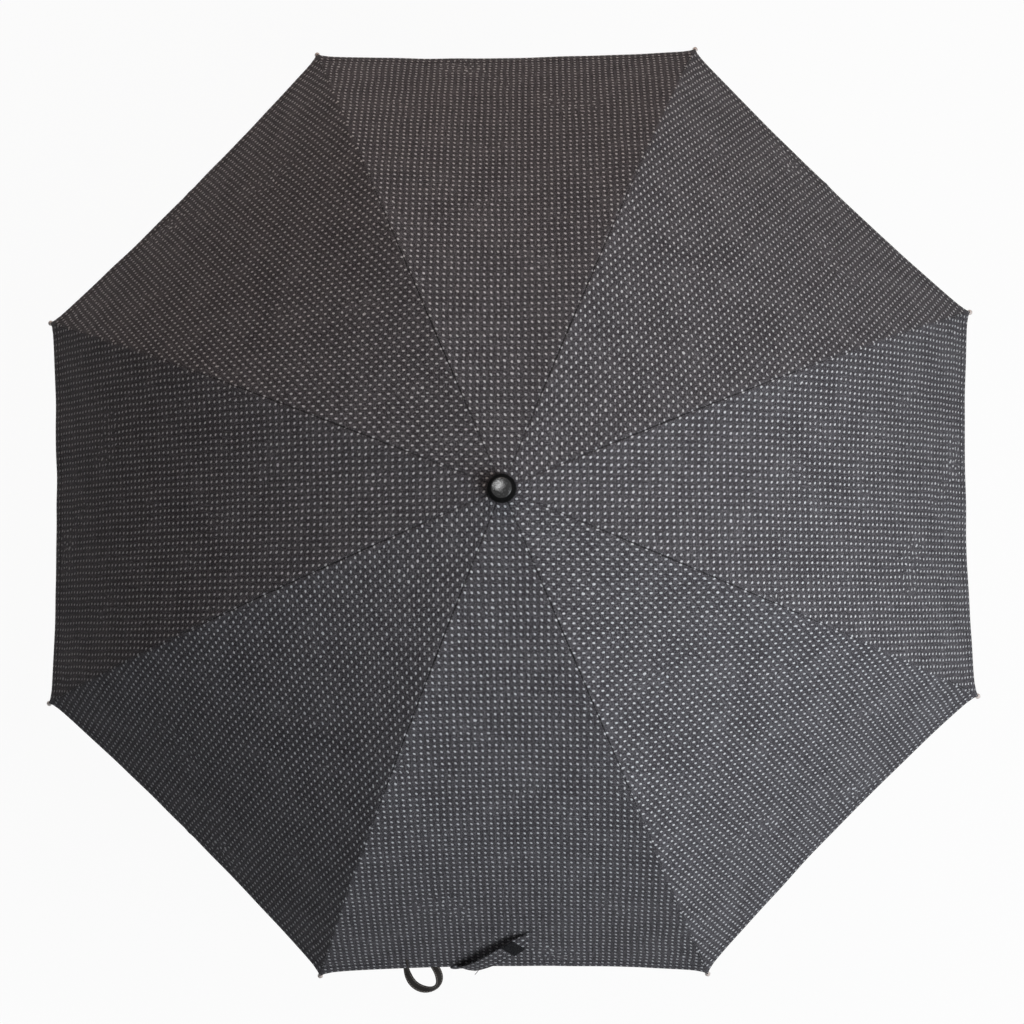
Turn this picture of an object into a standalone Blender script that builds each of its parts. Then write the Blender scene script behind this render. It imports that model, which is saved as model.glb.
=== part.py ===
"""Rain umbrella, open: straight shaft, eight sprung ribs, eight-gore canopy, crook handle.

Metres, +Z up along the shaft, origin on the shaft's axis at the middle of the grip.
The gore with the tie strap faces -Y. Ribs are numbered clockwise from above, from the upper left.
"""

import math

import bmesh
import bpy
from mathutils import Matrix, Vector

# Fits
RUNNING_GAP = 0.0003
CUT_OVERRUN = 0.004

# Canopy
RIB_COUNT = 8
FIRST_RIB_DEG = 112.5
CORNER_RADIUS = 0.486
CANOPY_HOLE_RADIUS = 0.0112
CLOTH_THICKNESS = 0.0006
SEAM_GAP = 0.0008
APEX_SLOPE_SHARE = 0.20
RIM_CURVE_SHARE = 0.37
HEM_SAG_SHARE = 0.012
PANEL_ROWS = 11
PANEL_COLUMNS = 5

# Shaft
SHAFT_RADIUS = 0.005
SHAFT_WALL = 0.0008
SHAFT_BELOW_GRIP = 0.018

# Crown, the notched hub at the top of the shaft
CROWN_RADIUS = 0.0125
CROWN_HEIGHT = 0.0090
CROWN_NECK_RADIUS = 0.0072
CROWN_NECK_LENGTH = 0.010
CROWN_BELOW_APEX = 0.0036
PIVOT_RADIUS = 0.0108

# Ribs and stretchers
RIB_RADIUS = 0.0015
ROD_RADIUS = 0.0012
EYE_RADIUS = 0.0018
EYE_THICKNESS = 0.0024
JOINT_RADIUS = 0.245
LUG_BEFORE_JOINT = 0.006
LUG_DROP = 0.0040
LUG_THICKNESS = 0.0012
LUG_LENGTH = 0.0036
PIN_RADIUS = 0.0007
RIVET_HEAD = 0.0004
FORK_PLATE = 0.0008
FORK_LENGTH = 0.009
FORK_HEIGHT = 0.0032
YOKE_LENGTH = 0.003
STRETCHER_RADIUS = 0.0014
RIB_POINTS = 9
ROD_START_SHARE = 0.55
ROD_SIDES_RESOLUTION = 2

# Rib tips
TIP_SLEEVE_RADIUS = 0.0022
TIP_SLEEVE_LENGTH = 0.0100
TIP_BALL_RADIUS = 0.0026
TIP_BEFORE_CORNER = 0.003
TIP_BORE_DEPTH = 0.008

# Top cap and its washer
CAP_RADIUS = 0.0125
CAP_HEIGHT = 0.0105
CAP_BELOW_APEX = 0.0016
CAP_STEM_LENGTH = 0.013
CAP_ROUNDNESS = 2.6

# Runner, the sliding hub
RUNNER_TUBE_RADIUS = 0.0076
RUNNER_HEAD_RADIUS = 0.0135
RUNNER_HEAD_HEIGHT = 0.010
RUNNER_TUBE_LENGTH = 0.042
WINDOW_LENGTH = 0.012
WINDOW_ABOVE_END = 0.010
CLOSED_LEAN_DEG = 2.0
CLOSED_ABOVE_COLLAR = 0.065

# Catches, the two leaf springs in the shaft
CATCH_LENGTH = 0.027
CATCH_WIDTH = 0.0024
CATCH_PROUD = 0.003
CATCH_BACK = 0.001
CATCH_FOOT_WIDTH = 0.003
CATCH_PIN_RADIUS = 0.0006
SLOT_START = 0.0025

# Handle
HANDLE_RADIUS = 0.011
HANDLE_TOP = 0.055
HANDLE_STRAIGHT_BELOW = 0.035
HOOK_RADIUS = 0.042
HOOK_END_LENGTH = 0.015
HANDLE_END_ROUND = 0.0015
COLLAR_RADIUS = 0.0122
COLLAR_HEIGHT = 0.012
COLLAR_ROUND = 0.001

# Tie strap, its hook patch, and the hem loop, on the gore that faces -Y
STRAP_WIDTH = 0.0136
STRAP_LENGTH = 0.093
STRAP_ROOT_ACROSS = -0.045
STRAP_RISE_DEG = 38.0
STRAP_PAST_HEM = 0.004
STRAP_POINT_LENGTH = 0.014
STRAP_THICKNESS = 0.0008
PATCH_LENGTH = 0.018
PATCH_FROM_POINT = 0.016
PATCH_THICKNESS = 0.001
LOOP_CENTRE_ACROSS = -0.0795
LOOP_HALF_WIDTH = 0.0150
LOOP_REACH = 0.026
LOOP_TUCK = 0.010
LOOP_RIBBON_WIDTH = 0.0075
LOOP_THICKNESS = 0.0009

# Roundness of turned and swept pieces
TURN_STEPS = 32
PIN_SIDES = 10

# Derived from the values above
GORE_HALF_ANGLE = math.pi / RIB_COUNT
RIB_DEPTH = CLOTH_THICKNESS + RUNNING_GAP + TIP_SLEEVE_RADIUS
COLLAR_BOTTOM = HANDLE_TOP + RUNNING_GAP
SHAFT_BORE = SHAFT_RADIUS - SHAFT_WALL
SLIDING_BORE = SHAFT_RADIUS + RUNNING_GAP
SLOT_WIDTH = EYE_THICKNESS + 2 * RUNNING_GAP
WASHER_RADIUS = CANOPY_HOLE_RADIUS * math.cos(GORE_HALF_ANGLE) - RUNNING_GAP


def canopy_drop(radius):
    """Height lost from the apex to a seam at this radius."""
    share = radius / CORNER_RADIUS
    return CORNER_RADIUS * (APEX_SLOPE_SHARE * share + RIM_CURVE_SHARE * share**3)


def canopy_slope(radius):
    """Downward slope of a seam at this radius."""
    share = radius / CORNER_RADIUS
    return APEX_SLOPE_SHARE + 3 * RIM_CURVE_SHARE * share**2


def point_below_apex(radius, depth):
    """A point below the seam, square to it, in the rib's own upright plane, from the apex."""
    angle = math.atan(canopy_slope(radius))
    across = radius - depth * math.sin(angle)
    return Vector((across, 0, -canopy_drop(radius) - depth * math.cos(angle)))


# Heights, worked out from the closed runner, which stops above the collar
CROWN_TO_LUG = point_below_apex(JOINT_RADIUS - LUG_BEFORE_JOINT, RIB_DEPTH + LUG_DROP)
CROWN_TO_LUG -= point_below_apex(PIVOT_RADIUS, RIB_DEPTH)
CLOSED_REACH = 2 * CROWN_TO_LUG.length * math.cos(math.radians(CLOSED_LEAN_DEG))
CLOSED_RUNNER_BOTTOM = COLLAR_BOTTOM + COLLAR_HEIGHT + CLOSED_ABOVE_COLLAR
CLOSED_RUNNER_PIVOT = CLOSED_RUNNER_BOTTOM + RUNNER_TUBE_LENGTH + RUNNER_HEAD_HEIGHT / 2
APEX_Z = CLOSED_RUNNER_PIVOT + CLOSED_REACH - point_below_apex(PIVOT_RADIUS, RIB_DEPTH).z
CROWN_TOP = APEX_Z - CROWN_BELOW_APEX
CAP_BOTTOM = APEX_Z - CAP_BELOW_APEX


def rib_point(radius, depth=RIB_DEPTH):
    """A point below the seam, square to it, in the rib's own upright plane."""
    return Vector((0, 0, APEX_Z)) + point_below_apex(radius, depth)


def rib_direction(radius):
    """The direction in which the rib runs outward at this radius."""
    angle = math.atan(canopy_slope(radius))
    return Vector((math.cos(angle), 0, -math.sin(angle)))


def gore_point(middle, across, lift):
    """A point over a gore: its distance out along the gore's middle, its place across, and its lift."""
    seam_radius = middle / math.cos(GORE_HALF_ANGLE)
    angle = math.atan(canopy_slope(seam_radius) / math.cos(GORE_HALF_ANGLE))
    height = APEX_Z - canopy_drop(seam_radius) + lift * math.cos(angle)
    return Vector((middle + lift * math.sin(angle), across, height))


def hem_middle(across):
    """How far out the hem lies at this place across a gore; the hem is drawn in between the ribs."""
    half_width = CORNER_RADIUS * math.sin(GORE_HALF_ANGLE)
    sag = HEM_SAG_SHARE * (1 - (across / half_width) ** 2)
    return CORNER_RADIUS * math.cos(GORE_HALF_ANGLE) * (1 - sag)


# Places of the hinges in each rib's upright plane
CROWN_PIVOT = rib_point(PIVOT_RADIUS)
RIB_JOINT = rib_point(JOINT_RADIUS)
LUG_PIVOT = rib_point(JOINT_RADIUS - LUG_BEFORE_JOINT, RIB_DEPTH + LUG_DROP)
TIP_POINT = rib_point(CORNER_RADIUS)
HUB_RADIUS = CROWN_PIVOT.x - EYE_RADIUS - RUNNING_GAP
RUNNER_PIVOT = Vector((CROWN_PIVOT.x, 0, 2 * LUG_PIVOT.z - CROWN_PIVOT.z))
RUNNER_BOTTOM = RUNNER_PIVOT.z - RUNNER_HEAD_HEIGHT / 2 - RUNNER_TUBE_LENGTH


def material(name, colour, roughness, metallic=0.0):
    """A Principled material in one colour."""
    made = bpy.data.materials.new(name)
    made.use_nodes = True
    shader = made.node_tree.nodes["Principled BSDF"]
    shader.inputs["Base Color"].default_value = (*colour, 1.0)
    shader.inputs["Roughness"].default_value = roughness
    shader.inputs["Metallic"].default_value = metallic
    return made


def collection(name):
    """A new collection in the scene."""
    made = bpy.data.collections.new(name)
    bpy.context.scene.collection.children.link(made)
    return made


def add_object(name, mesh, into, finish=None, parent=None):
    """An object of this mesh, standing where its parent stands."""
    made = bpy.data.objects.new(name, mesh)
    into.objects.link(made)
    if finish and not mesh.materials:
        mesh.materials.append(finish)
    made.parent = parent
    return made


def baked(source, move=None):
    """The evaluated mesh of an object, which is then removed."""
    bpy.context.view_layer.update()
    evaluated = source.evaluated_get(bpy.context.evaluated_depsgraph_get())
    mesh = bpy.data.meshes.new_from_object(evaluated)
    mesh.transform(source.matrix_world)
    shape = bmesh.new()
    shape.from_mesh(mesh)
    bmesh.ops.remove_doubles(shape, verts=shape.verts, dist=RUNNING_GAP / 100)
    shape.to_mesh(mesh)
    shape.free()
    if move:
        mesh.transform(Matrix.Translation(move))
    bpy.data.objects.remove(source)
    return mesh


def smooth(mesh):
    """Smooth shading that keeps the sharp edges."""
    mesh.shade_smooth()
    mesh.set_sharp_from_angle(angle=math.radians(40))
    return mesh


def turned(name, outline, into, steps=TURN_STEPS, closed=False):
    """A profile of (radius, height) points turned round Z."""
    mesh = bpy.data.meshes.new(name)
    edges = [(n, n + 1) for n in range(len(outline) - 1)]
    if closed:
        edges.append((len(outline) - 1, 0))
    mesh.from_pydata([(radius, 0, height) for radius, height in outline], edges, [])
    made = add_object(name, mesh, into)
    screw = made.modifiers.new("Screw", "SCREW")
    screw.steps = steps
    screw.render_steps = steps
    screw.use_merge_vertices = True
    screw.merge_threshold = RUNNING_GAP / 100
    return made


def ring_outline(inner, outer, bottom, top):
    """The closed profile of a plain ring, outer side first, top to bottom."""
    return [(outer, top), (outer, bottom), (inner, bottom), (inner, top)]


def rod(name, points, radius, into, resolution=ROD_SIDES_RESOLUTION):
    """A round rod through these points."""
    curve = bpy.data.curves.new(name, "CURVE")
    curve.dimensions = "3D"
    curve.bevel_depth = radius
    curve.bevel_resolution = resolution
    curve.use_fill_caps = True
    spline = curve.splines.new("POLY")
    spline.points.add(len(points) - 1)
    for place, point in zip(spline.points, points):
        place.co = (*point, 1.0)
    return add_object(name, curve, into)


def box(name, size, centre, into, turn=0.0):
    """A block of this size, turned about Y."""
    mesh = bpy.data.meshes.new(name)
    shape = bmesh.new()
    bmesh.ops.create_cube(shape, size=1.0)
    bmesh.ops.scale(shape, vec=size, verts=shape.verts)
    shape.to_mesh(mesh)
    shape.free()
    mesh.transform(Matrix.Rotation(turn, 4, "Y"))
    mesh.transform(Matrix.Translation(centre))
    return add_object(name, mesh, into)


def cross_pin(name, radius, length, centre, into, sides=PIN_SIDES):
    """A round pin lying along Y."""
    mesh = bpy.data.meshes.new(name)
    shape = bmesh.new()
    bmesh.ops.create_cone(
        shape, cap_ends=True, segments=sides, radius1=radius, radius2=radius, depth=length
    )
    shape.to_mesh(mesh)
    shape.free()
    mesh.transform(Matrix.Rotation(math.pi / 2, 4, "X"))
    mesh.transform(Matrix.Translation(centre))
    return add_object(name, mesh, into)


def as_mesh(source, into):
    """The same object with its curve made a closed mesh."""
    name = source.name
    return add_object(name + "_mesh", baked(source), into)


def combine(target, others, operation):
    """Join or cut the target with each of the other objects, which are then removed."""
    for number, other in enumerate(others):
        change = target.modifiers.new(f"Boolean {number}", "BOOLEAN")
        change.operation = operation
        change.object = other
        change.solver = "EXACT"
    name = target.name
    mesh = baked(target)
    for other in others:
        bpy.data.objects.remove(other)
    return mesh, name


def joined(target, others, into):
    """One body from overlapping objects."""
    mesh, name = combine(target, others, "UNION")
    return add_object(name, mesh, into)


def cut(target, cutters, into):
    """The target with the cutters taken away."""
    mesh, name = combine(target, cutters, "DIFFERENCE")
    return add_object(name, mesh, into)


def sheet(name, rows, columns, place, thickness, into):
    """A thin solid whose outer face follows place(row share, column share)."""
    mesh = bpy.data.meshes.new(name)
    shape = bmesh.new()
    bmesh.ops.create_grid(shape, x_segments=rows, y_segments=columns, size=0.5)
    for vertex in shape.verts:
        vertex.co = place(vertex.co.x + 0.5, vertex.co.y + 0.5)
    shape.normal_update()
    if sum(face.normal.z * face.calc_area() for face in shape.faces) < 0:
        bmesh.ops.reverse_faces(shape, faces=shape.faces)
    shape.to_mesh(mesh)
    shape.free()
    made = add_object(name, mesh, into)
    solidify = made.modifiers.new("Solidify", "SOLIDIFY")
    solidify.thickness = thickness
    solidify.offset = -1.0
    solidify.use_even_offset = True
    return made


def radial_slots(inner, outer, width, bottom, top, into):
    """Eight cutting blocks that stand round the axis, one on each rib's azimuth."""
    cutters = []
    for number in range(RIB_COUNT):
        size = (outer - inner, width, top - bottom)
        cutter = box("slot", size, ((inner + outer) / 2, 0, (bottom + top) / 2), into)
        cutter.data.transform(Matrix.Rotation(rib_angle(number), 4, "Z"))
        cutters.append(cutter)
    return cutters


def rib_angle(number):
    """The azimuth of a rib, counted clockwise from above."""
    return math.radians(FIRST_RIB_DEG) - number * 2 * GORE_HALF_ANGLE


def make_shaft(parts, bench, steel):
    """The steel tube, with one slot for each catch."""
    outline = ring_outline(SHAFT_BORE, SHAFT_RADIUS, -SHAFT_BELOW_GRIP, CROWN_TOP - RUNNING_GAP)
    tube = turned("shaft_tube", outline, bench, closed=True)
    length = CATCH_LENGTH + 2 * RUNNING_GAP - SLOT_START
    slots = []
    for pivot, way in ((top_catch_pivot(), 1), (bottom_catch_pivot(), -1)):
        size = (SHAFT_RADIUS + CUT_OVERRUN, CATCH_WIDTH + 2 * RUNNING_GAP, length)
        centre = (size[0] / 2, 0, pivot + way * (SLOT_START + length / 2))
        slots.append(box("catch_slot", size, centre, bench))
    add_object("shaft", smooth(baked(cut(tube, slots, bench))), parts, steel)


def top_catch_pivot():
    """Height of the pin of the catch that holds the runner up."""
    return RUNNER_BOTTOM - RUNNING_GAP - CATCH_LENGTH


def bottom_catch_pivot():
    """Height of the pin of the catch that holds the runner down, in the runner's window."""
    return CLOSED_RUNNER_BOTTOM + WINDOW_ABOVE_END + RUNNING_GAP + CATCH_LENGTH


def make_catch(name, height, way, parts, bench, steel):
    """A leaf with a ramp and a shoulder, standing out of the shaft's slot, with its pin."""
    half = CATCH_WIDTH / 2
    mesh = bpy.data.meshes.new(name)
    shape = bmesh.new()
    bmesh.ops.create_cube(shape, size=1.0)
    for vertex in shape.verts:
        outer = vertex.co.x > 0
        if vertex.co.z > 0:
            x = SHAFT_RADIUS + CATCH_PROUD if outer else 0
            z = CATCH_LENGTH
        else:
            x = CATCH_FOOT_WIDTH if outer else -CATCH_BACK
            z = -CATCH_BACK
        vertex.co = (x, math.copysign(half, vertex.co.y), way * z)
    if way < 0:
        bmesh.ops.reverse_faces(shape, faces=shape.faces)
    shape.to_mesh(mesh)
    shape.free()
    leaf = add_object(name + "_leaf", mesh, bench)
    pin = cross_pin("catch_pin", CATCH_PIN_RADIUS, 2 * SHAFT_BORE - 2 * RUNNING_GAP, (0, 0, 0), bench)
    whole = joined(leaf, [pin], bench)
    made = add_object(name, baked(whole), parts, steel)
    made.location.z = height


def make_crown(parts, bench, plastic):
    """The notched hub that carries the ribs, fixed on the shaft's top end."""
    bottom = CROWN_TOP - CROWN_HEIGHT
    outline = [
        (CROWN_RADIUS, CROWN_TOP),
        (CROWN_RADIUS, bottom),
        (CROWN_NECK_RADIUS, bottom),
        (CROWN_NECK_RADIUS, bottom - CROWN_NECK_LENGTH),
        (SLIDING_BORE, bottom - CROWN_NECK_LENGTH),
        (SLIDING_BORE, CROWN_TOP),
    ]
    hub = turned("crown_hub", outline, bench, closed=True)
    slots = radial_slots(
        HUB_RADIUS, CROWN_RADIUS + CUT_OVERRUN, SLOT_WIDTH,
        bottom - RUNNING_GAP, CROWN_TOP + CUT_OVERRUN, bench,
    )
    add_object("crown", smooth(baked(cut(hub, slots, bench))), parts, plastic)


def make_top_cap(parts, bench, gloss):
    """The domed cap over the seams' meeting point, with a stem down the shaft's bore."""
    count = 10
    dome = []
    for step in range(count + 1):
        share = step / count
        height = CAP_HEIGHT * (1 - share**CAP_ROUNDNESS) ** (1 / CAP_ROUNDNESS)
        dome.append((CAP_RADIUS * share, APEX_Z + height))
    stem = SHAFT_BORE - RUNNING_GAP
    below = [
        (CAP_RADIUS, CAP_BOTTOM),
        (stem, CAP_BOTTOM),
        (stem, CAP_BOTTOM - CAP_STEM_LENGTH),
        (0, CAP_BOTTOM - CAP_STEM_LENGTH),
    ]
    cap = turned("cap_turned", dome + below, bench)
    add_object("top_cap", smooth(baked(cap)), parts, gloss)


def make_washer(parts, bench, plastic):
    """The thin washer between the crown and the cap, inside the canopy's hole."""
    outline = ring_outline(SHAFT_BORE, WASHER_RADIUS, CROWN_TOP + RUNNING_GAP, CAP_BOTTOM - RUNNING_GAP)
    ring = turned("washer_turned", outline, bench, closed=True)
    add_object("cap_washer", smooth(baked(ring)), parts, plastic)


def make_runner(parts, bench, plastic, pivot):
    """The hub that slides on the shaft, with notches for the stretchers and a catch window."""
    top = RUNNER_PIVOT.z + RUNNER_HEAD_HEIGHT / 2
    bottom = top - RUNNER_HEAD_HEIGHT
    outline = [
        (RUNNER_HEAD_RADIUS, top),
        (RUNNER_HEAD_RADIUS, bottom),
        (RUNNER_TUBE_RADIUS, bottom),
        (RUNNER_TUBE_RADIUS, RUNNER_BOTTOM),
        (SLIDING_BORE, RUNNER_BOTTOM),
        (SLIDING_BORE, top),
    ]
    hub = turned("runner_hub", outline, bench, closed=True)
    cutters = radial_slots(
        HUB_RADIUS, RUNNER_HEAD_RADIUS + CUT_OVERRUN, SLOT_WIDTH,
        bottom - CUT_OVERRUN, top + CUT_OVERRUN, bench,
    )
    width = CATCH_WIDTH + 2 * RUNNING_GAP
    size = (RUNNER_TUBE_RADIUS + CUT_OVERRUN, width, WINDOW_LENGTH)
    centre = (size[0] / 2, 0, RUNNER_BOTTOM + WINDOW_ABOVE_END + WINDOW_LENGTH / 2)
    cutters.append(box("window", size, centre, bench))
    whole = cut(hub, cutters, bench)
    mesh = smooth(baked(whole, move=-pivot.location))
    add_object("runner", mesh, parts, plastic, parent=pivot)


def make_handle(parts, bench, grip):
    """The crook: a straight grip, a half turn towards +X and a short upright end."""
    points = [Vector((0, 0, HANDLE_TOP)), Vector((0, 0, 0))]
    arc_steps = 14
    for step in range(arc_steps + 1):
        angle = math.pi * (1 + step / arc_steps)
        x = HOOK_RADIUS * (1 + math.cos(angle))
        points.append(Vector((x, 0, HOOK_RADIUS * math.sin(angle) - HANDLE_STRAIGHT_BELOW)))
    points.append(points[-1] + Vector((0, 0, HOOK_END_LENGTH)))
    crook = as_mesh(rod("crook", points, HANDLE_RADIUS, bench, resolution=4), bench)
    bevel = crook.modifiers.new("Bevel", "BEVEL")
    bevel.width = HANDLE_END_ROUND
    bevel.segments = 2
    bevel.limit_method = "ANGLE"
    bevel.angle_limit = math.radians(60)
    depth = HANDLE_TOP + SHAFT_BELOW_GRIP + RUNNING_GAP
    bore = [
        (0, HANDLE_TOP + CUT_OVERRUN),
        (SLIDING_BORE, HANDLE_TOP + CUT_OVERRUN),
        (SLIDING_BORE, HANDLE_TOP - depth),
        (0, HANDLE_TOP - depth),
    ]
    cutter = turned("shaft_bore", bore, bench)
    add_object("handle", smooth(baked(cut(crook, [cutter], bench))), parts, grip)


def make_collar(parts, bench, steel):
    """The metal ring that closes the handle's top."""
    top = COLLAR_BOTTOM + COLLAR_HEIGHT
    outline = ring_outline(SLIDING_BORE, COLLAR_RADIUS, COLLAR_BOTTOM, top)
    ring = turned("collar_turned", outline, bench, closed=True)
    bevel = ring.modifiers.new("Bevel", "BEVEL")
    bevel.width = COLLAR_ROUND
    bevel.segments = 2
    bevel.limit_method = "ANGLE"
    bevel.angle_limit = math.radians(60)
    add_object("handle_collar", smooth(baked(ring)), parts, steel)


def rib_mesh(bench):
    """The inner rib: a rod with an eye at the crown and a drilled lug near its outer end."""
    span = JOINT_RADIUS - PIVOT_RADIUS
    radii = [PIVOT_RADIUS + span * n / (RIB_POINTS - 1) for n in range(RIB_POINTS)]
    body = as_mesh(rod("rib_rod", [rib_point(r) for r in radii], RIB_RADIUS, bench), bench)
    eye = cross_pin("rib_eye", EYE_RADIUS, EYE_THICKNESS, CROWN_PIVOT, bench)
    lug_radius = JOINT_RADIUS - LUG_BEFORE_JOINT
    lean = math.atan(canopy_slope(lug_radius))
    depth = LUG_DROP + FORK_HEIGHT / 2
    centre = rib_point(lug_radius, RIB_DEPTH + depth / 2)
    lug = box("rib_lug", (LUG_LENGTH, LUG_THICKNESS, depth), centre, bench, turn=lean)
    whole = joined(body, [eye, lug], bench)
    hole = cross_pin("lug_hole", PIN_RADIUS + RUNNING_GAP, CUT_OVERRUN, LUG_PIVOT, bench)
    return smooth(baked(cut(whole, [hole], bench), move=-CROWN_PIVOT))


def outer_rod_mesh(bench):
    """The springy outer rod, from the joint into the tip's sleeve."""
    first = JOINT_RADIUS + ROD_RADIUS * ROD_START_SHARE
    span = CORNER_RADIUS - first
    radii = [first + span * n / (RIB_POINTS - 1) for n in range(RIB_POINTS)]
    points = [rib_point(r) for r in radii]
    end = TIP_BORE_DEPTH - TIP_BEFORE_CORNER - RUNNING_GAP
    points.append(TIP_POINT + rib_direction(CORNER_RADIUS) * end)
    return smooth(baked(rod("outer_rod", points, ROD_RADIUS, bench), move=-RIB_JOINT))


def tip_mesh(bench):
    """The rib's end cap: a sleeve with a rounded nose, bored for the rod."""
    nose_steps = 4
    outline = []
    for step in range(nose_steps + 1):
        angle = math.radians(90 - 120 * step / nose_steps)
        height = TIP_SLEEVE_LENGTH + TIP_BALL_RADIUS * math.sin(angle)
        outline.append((max(0, TIP_BALL_RADIUS * math.cos(angle)), height))
    bore = ROD_RADIUS + RUNNING_GAP
    outline += [
        (TIP_SLEEVE_RADIUS, 0), (bore, 0), (bore, TIP_BORE_DEPTH), (0, TIP_BORE_DEPTH),
    ]
    cup = turned("tip_turned", outline, bench, steps=PIN_SIDES)
    mesh = baked(cup)
    way = rib_direction(CORNER_RADIUS)
    mesh.transform(Vector((0, 0, 1)).rotation_difference(way).to_matrix().to_4x4())
    base = TIP_POINT - way * TIP_BEFORE_CORNER
    mesh.transform(Matrix.Translation(base - RIB_JOINT))
    return smooth(mesh)


def stretcher_mesh(bench):
    """The stretcher: an eye at the runner, a rod, and a fork with its pin round the rib's lug."""
    way = (RUNNER_PIVOT - LUG_PIVOT).normalized()
    turn = math.atan2(-way.z, way.x)
    side = LUG_THICKNESS / 2 + RUNNING_GAP
    width = 2 * (side + FORK_PLATE)
    back = FORK_HEIGHT / 2
    length = back + FORK_LENGTH + YOKE_LENGTH
    fork = box(
        "fork", (length, width, FORK_HEIGHT), LUG_PIVOT + way * (length / 2 - back), bench, turn
    )
    mouth = length - YOKE_LENGTH + CUT_OVERRUN
    inside = box(
        "fork_mouth", (mouth, 2 * side, FORK_HEIGHT + CUT_OVERRUN),
        LUG_PIVOT + way * (mouth / 2 - back - CUT_OVERRUN), bench, turn,
    )
    fork = cut(fork, [inside], bench)
    start = LUG_PIVOT + way * (FORK_LENGTH + YOKE_LENGTH / 2)
    body = as_mesh(rod("stretcher_rod", [start, RUNNER_PIVOT], STRETCHER_RADIUS, bench), bench)
    eye = cross_pin("stretcher_eye", EYE_RADIUS, EYE_THICKNESS, RUNNER_PIVOT, bench)
    pin = cross_pin("fork_pin", PIN_RADIUS, width + 2 * RIVET_HEAD, LUG_PIVOT, bench)
    return smooth(baked(joined(body, [fork, eye, pin], bench), move=-LUG_PIVOT))


def half_gore_mesh(hand, bench):
    """Half a gore, from the seam over this rib to the gore's middle, where the cloth folds."""
    def place(row, column):
        radius = CANOPY_HOLE_RADIUS + (CORNER_RADIUS - CANOPY_HOLE_RADIUS) * row
        edge = radius * math.sin(GORE_HALF_ANGLE) - SEAM_GAP / 2 / math.cos(GORE_HALF_ANGLE)
        across = RUNNING_GAP / 2 + (edge - RUNNING_GAP / 2) * (1 - column)
        flat = radius * math.cos(GORE_HALF_ANGLE)
        middle = flat * hem_middle(across * CORNER_RADIUS / radius) / hem_middle(
            CORNER_RADIUS * math.sin(GORE_HALF_ANGLE)
        )
        middle = flat + (middle - flat) * row**2
        point = gore_point(middle, -hand * across, 0)
        return Matrix.Rotation(hand * GORE_HALF_ANGLE, 3, "Z") @ point - TIP_POINT

    cloth = sheet("half_gore", PANEL_ROWS, PANEL_COLUMNS, place, CLOTH_THICKNESS, bench)
    return smooth(baked(cloth))


def on_front_gore(across, up, lift):
    """A point on the -Y gore: its place across, its distance up from the hem and its lift."""
    hem = hem_middle(across)
    slope = math.atan(canopy_slope(hem / math.cos(GORE_HALF_ANGLE)) / math.cos(GORE_HALF_ANGLE))
    point = gore_point(hem - up * math.cos(slope), across, lift)
    return Matrix.Rotation(-math.pi / 2, 3, "Z") @ point


def strap_place(along, side):
    """Across and up for a place on the tie strap: along from its root, side from its middle."""
    rise = math.radians(STRAP_RISE_DEG)
    across = STRAP_ROOT_ACROSS + along * math.cos(rise) - side * math.sin(rise)
    up = along * math.sin(rise) + side * math.cos(rise) - STRAP_PAST_HEM
    return across, up


def make_strap(bench, fold):
    """The tie strap over the outside of the front gore, and the hook patch near its point."""
    rise = math.radians(STRAP_RISE_DEG)
    lift = 2 * RUNNING_GAP + STRAP_THICKNESS

    def strap(row, column):
        side = STRAP_WIDTH * (column - 0.5)
        root = -side / math.tan(rise)
        end = STRAP_LENGTH - abs(side) * STRAP_POINT_LENGTH / (STRAP_WIDTH / 2)
        along = root + (end - root) * row
        return on_front_gore(*strap_place(along, side), lift) - fold

    def patch(row, column):
        side = (STRAP_WIDTH - 2 * RUNNING_GAP) * (column - 0.5)
        along = STRAP_LENGTH - PATCH_FROM_POINT - PATCH_LENGTH * (1 - row)
        top = lift + RUNNING_GAP + PATCH_THICKNESS
        return on_front_gore(*strap_place(along, side), top) - fold

    return (
        smooth(baked(sheet("strap", 12, 3, strap, STRAP_THICKNESS, bench))),
        smooth(baked(sheet("patch", 4, 3, patch, PATCH_THICKNESS, bench))),
    )


def loop_mesh(bench, fold):
    """The ribbon loop whose two ends tuck behind the front gore's hem."""
    straight = LOOP_TUCK + LOOP_REACH - LOOP_HALF_WIDTH
    bend = math.pi * LOOP_HALF_WIDTH
    total = 2 * straight + bend
    depth = -(CLOTH_THICKNESS + RUNNING_GAP)

    def ribbon(row, column):
        side = LOOP_RIBBON_WIDTH * (column - 0.5)
        run = total * row
        radius = LOOP_HALF_WIDTH + side
        if run < straight:
            across, up = -radius, LOOP_TUCK - run
        elif run > total - straight:
            across, up = radius, LOOP_TUCK - (total - run)
        else:
            angle = (run - straight) / LOOP_HALF_WIDTH
            across = -radius * math.cos(angle)
            up = LOOP_TUCK - straight - radius * math.sin(angle)
        return on_front_gore(LOOP_CENTRE_ACROSS + across, up, depth) - fold

    return smooth(baked(sheet("loop", 16, 2, ribbon, LOOP_THICKNESS, bench)))


def pivot_empty(name, place, angle, into):
    """An empty on a joint's axis, turned to a rib's azimuth."""
    made = bpy.data.objects.new(name, None)
    made.empty_display_size = EYE_RADIUS
    made.location = Matrix.Rotation(angle, 3, "Z") @ place
    made.rotation_euler.z = angle
    into.objects.link(made)
    return made


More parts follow.
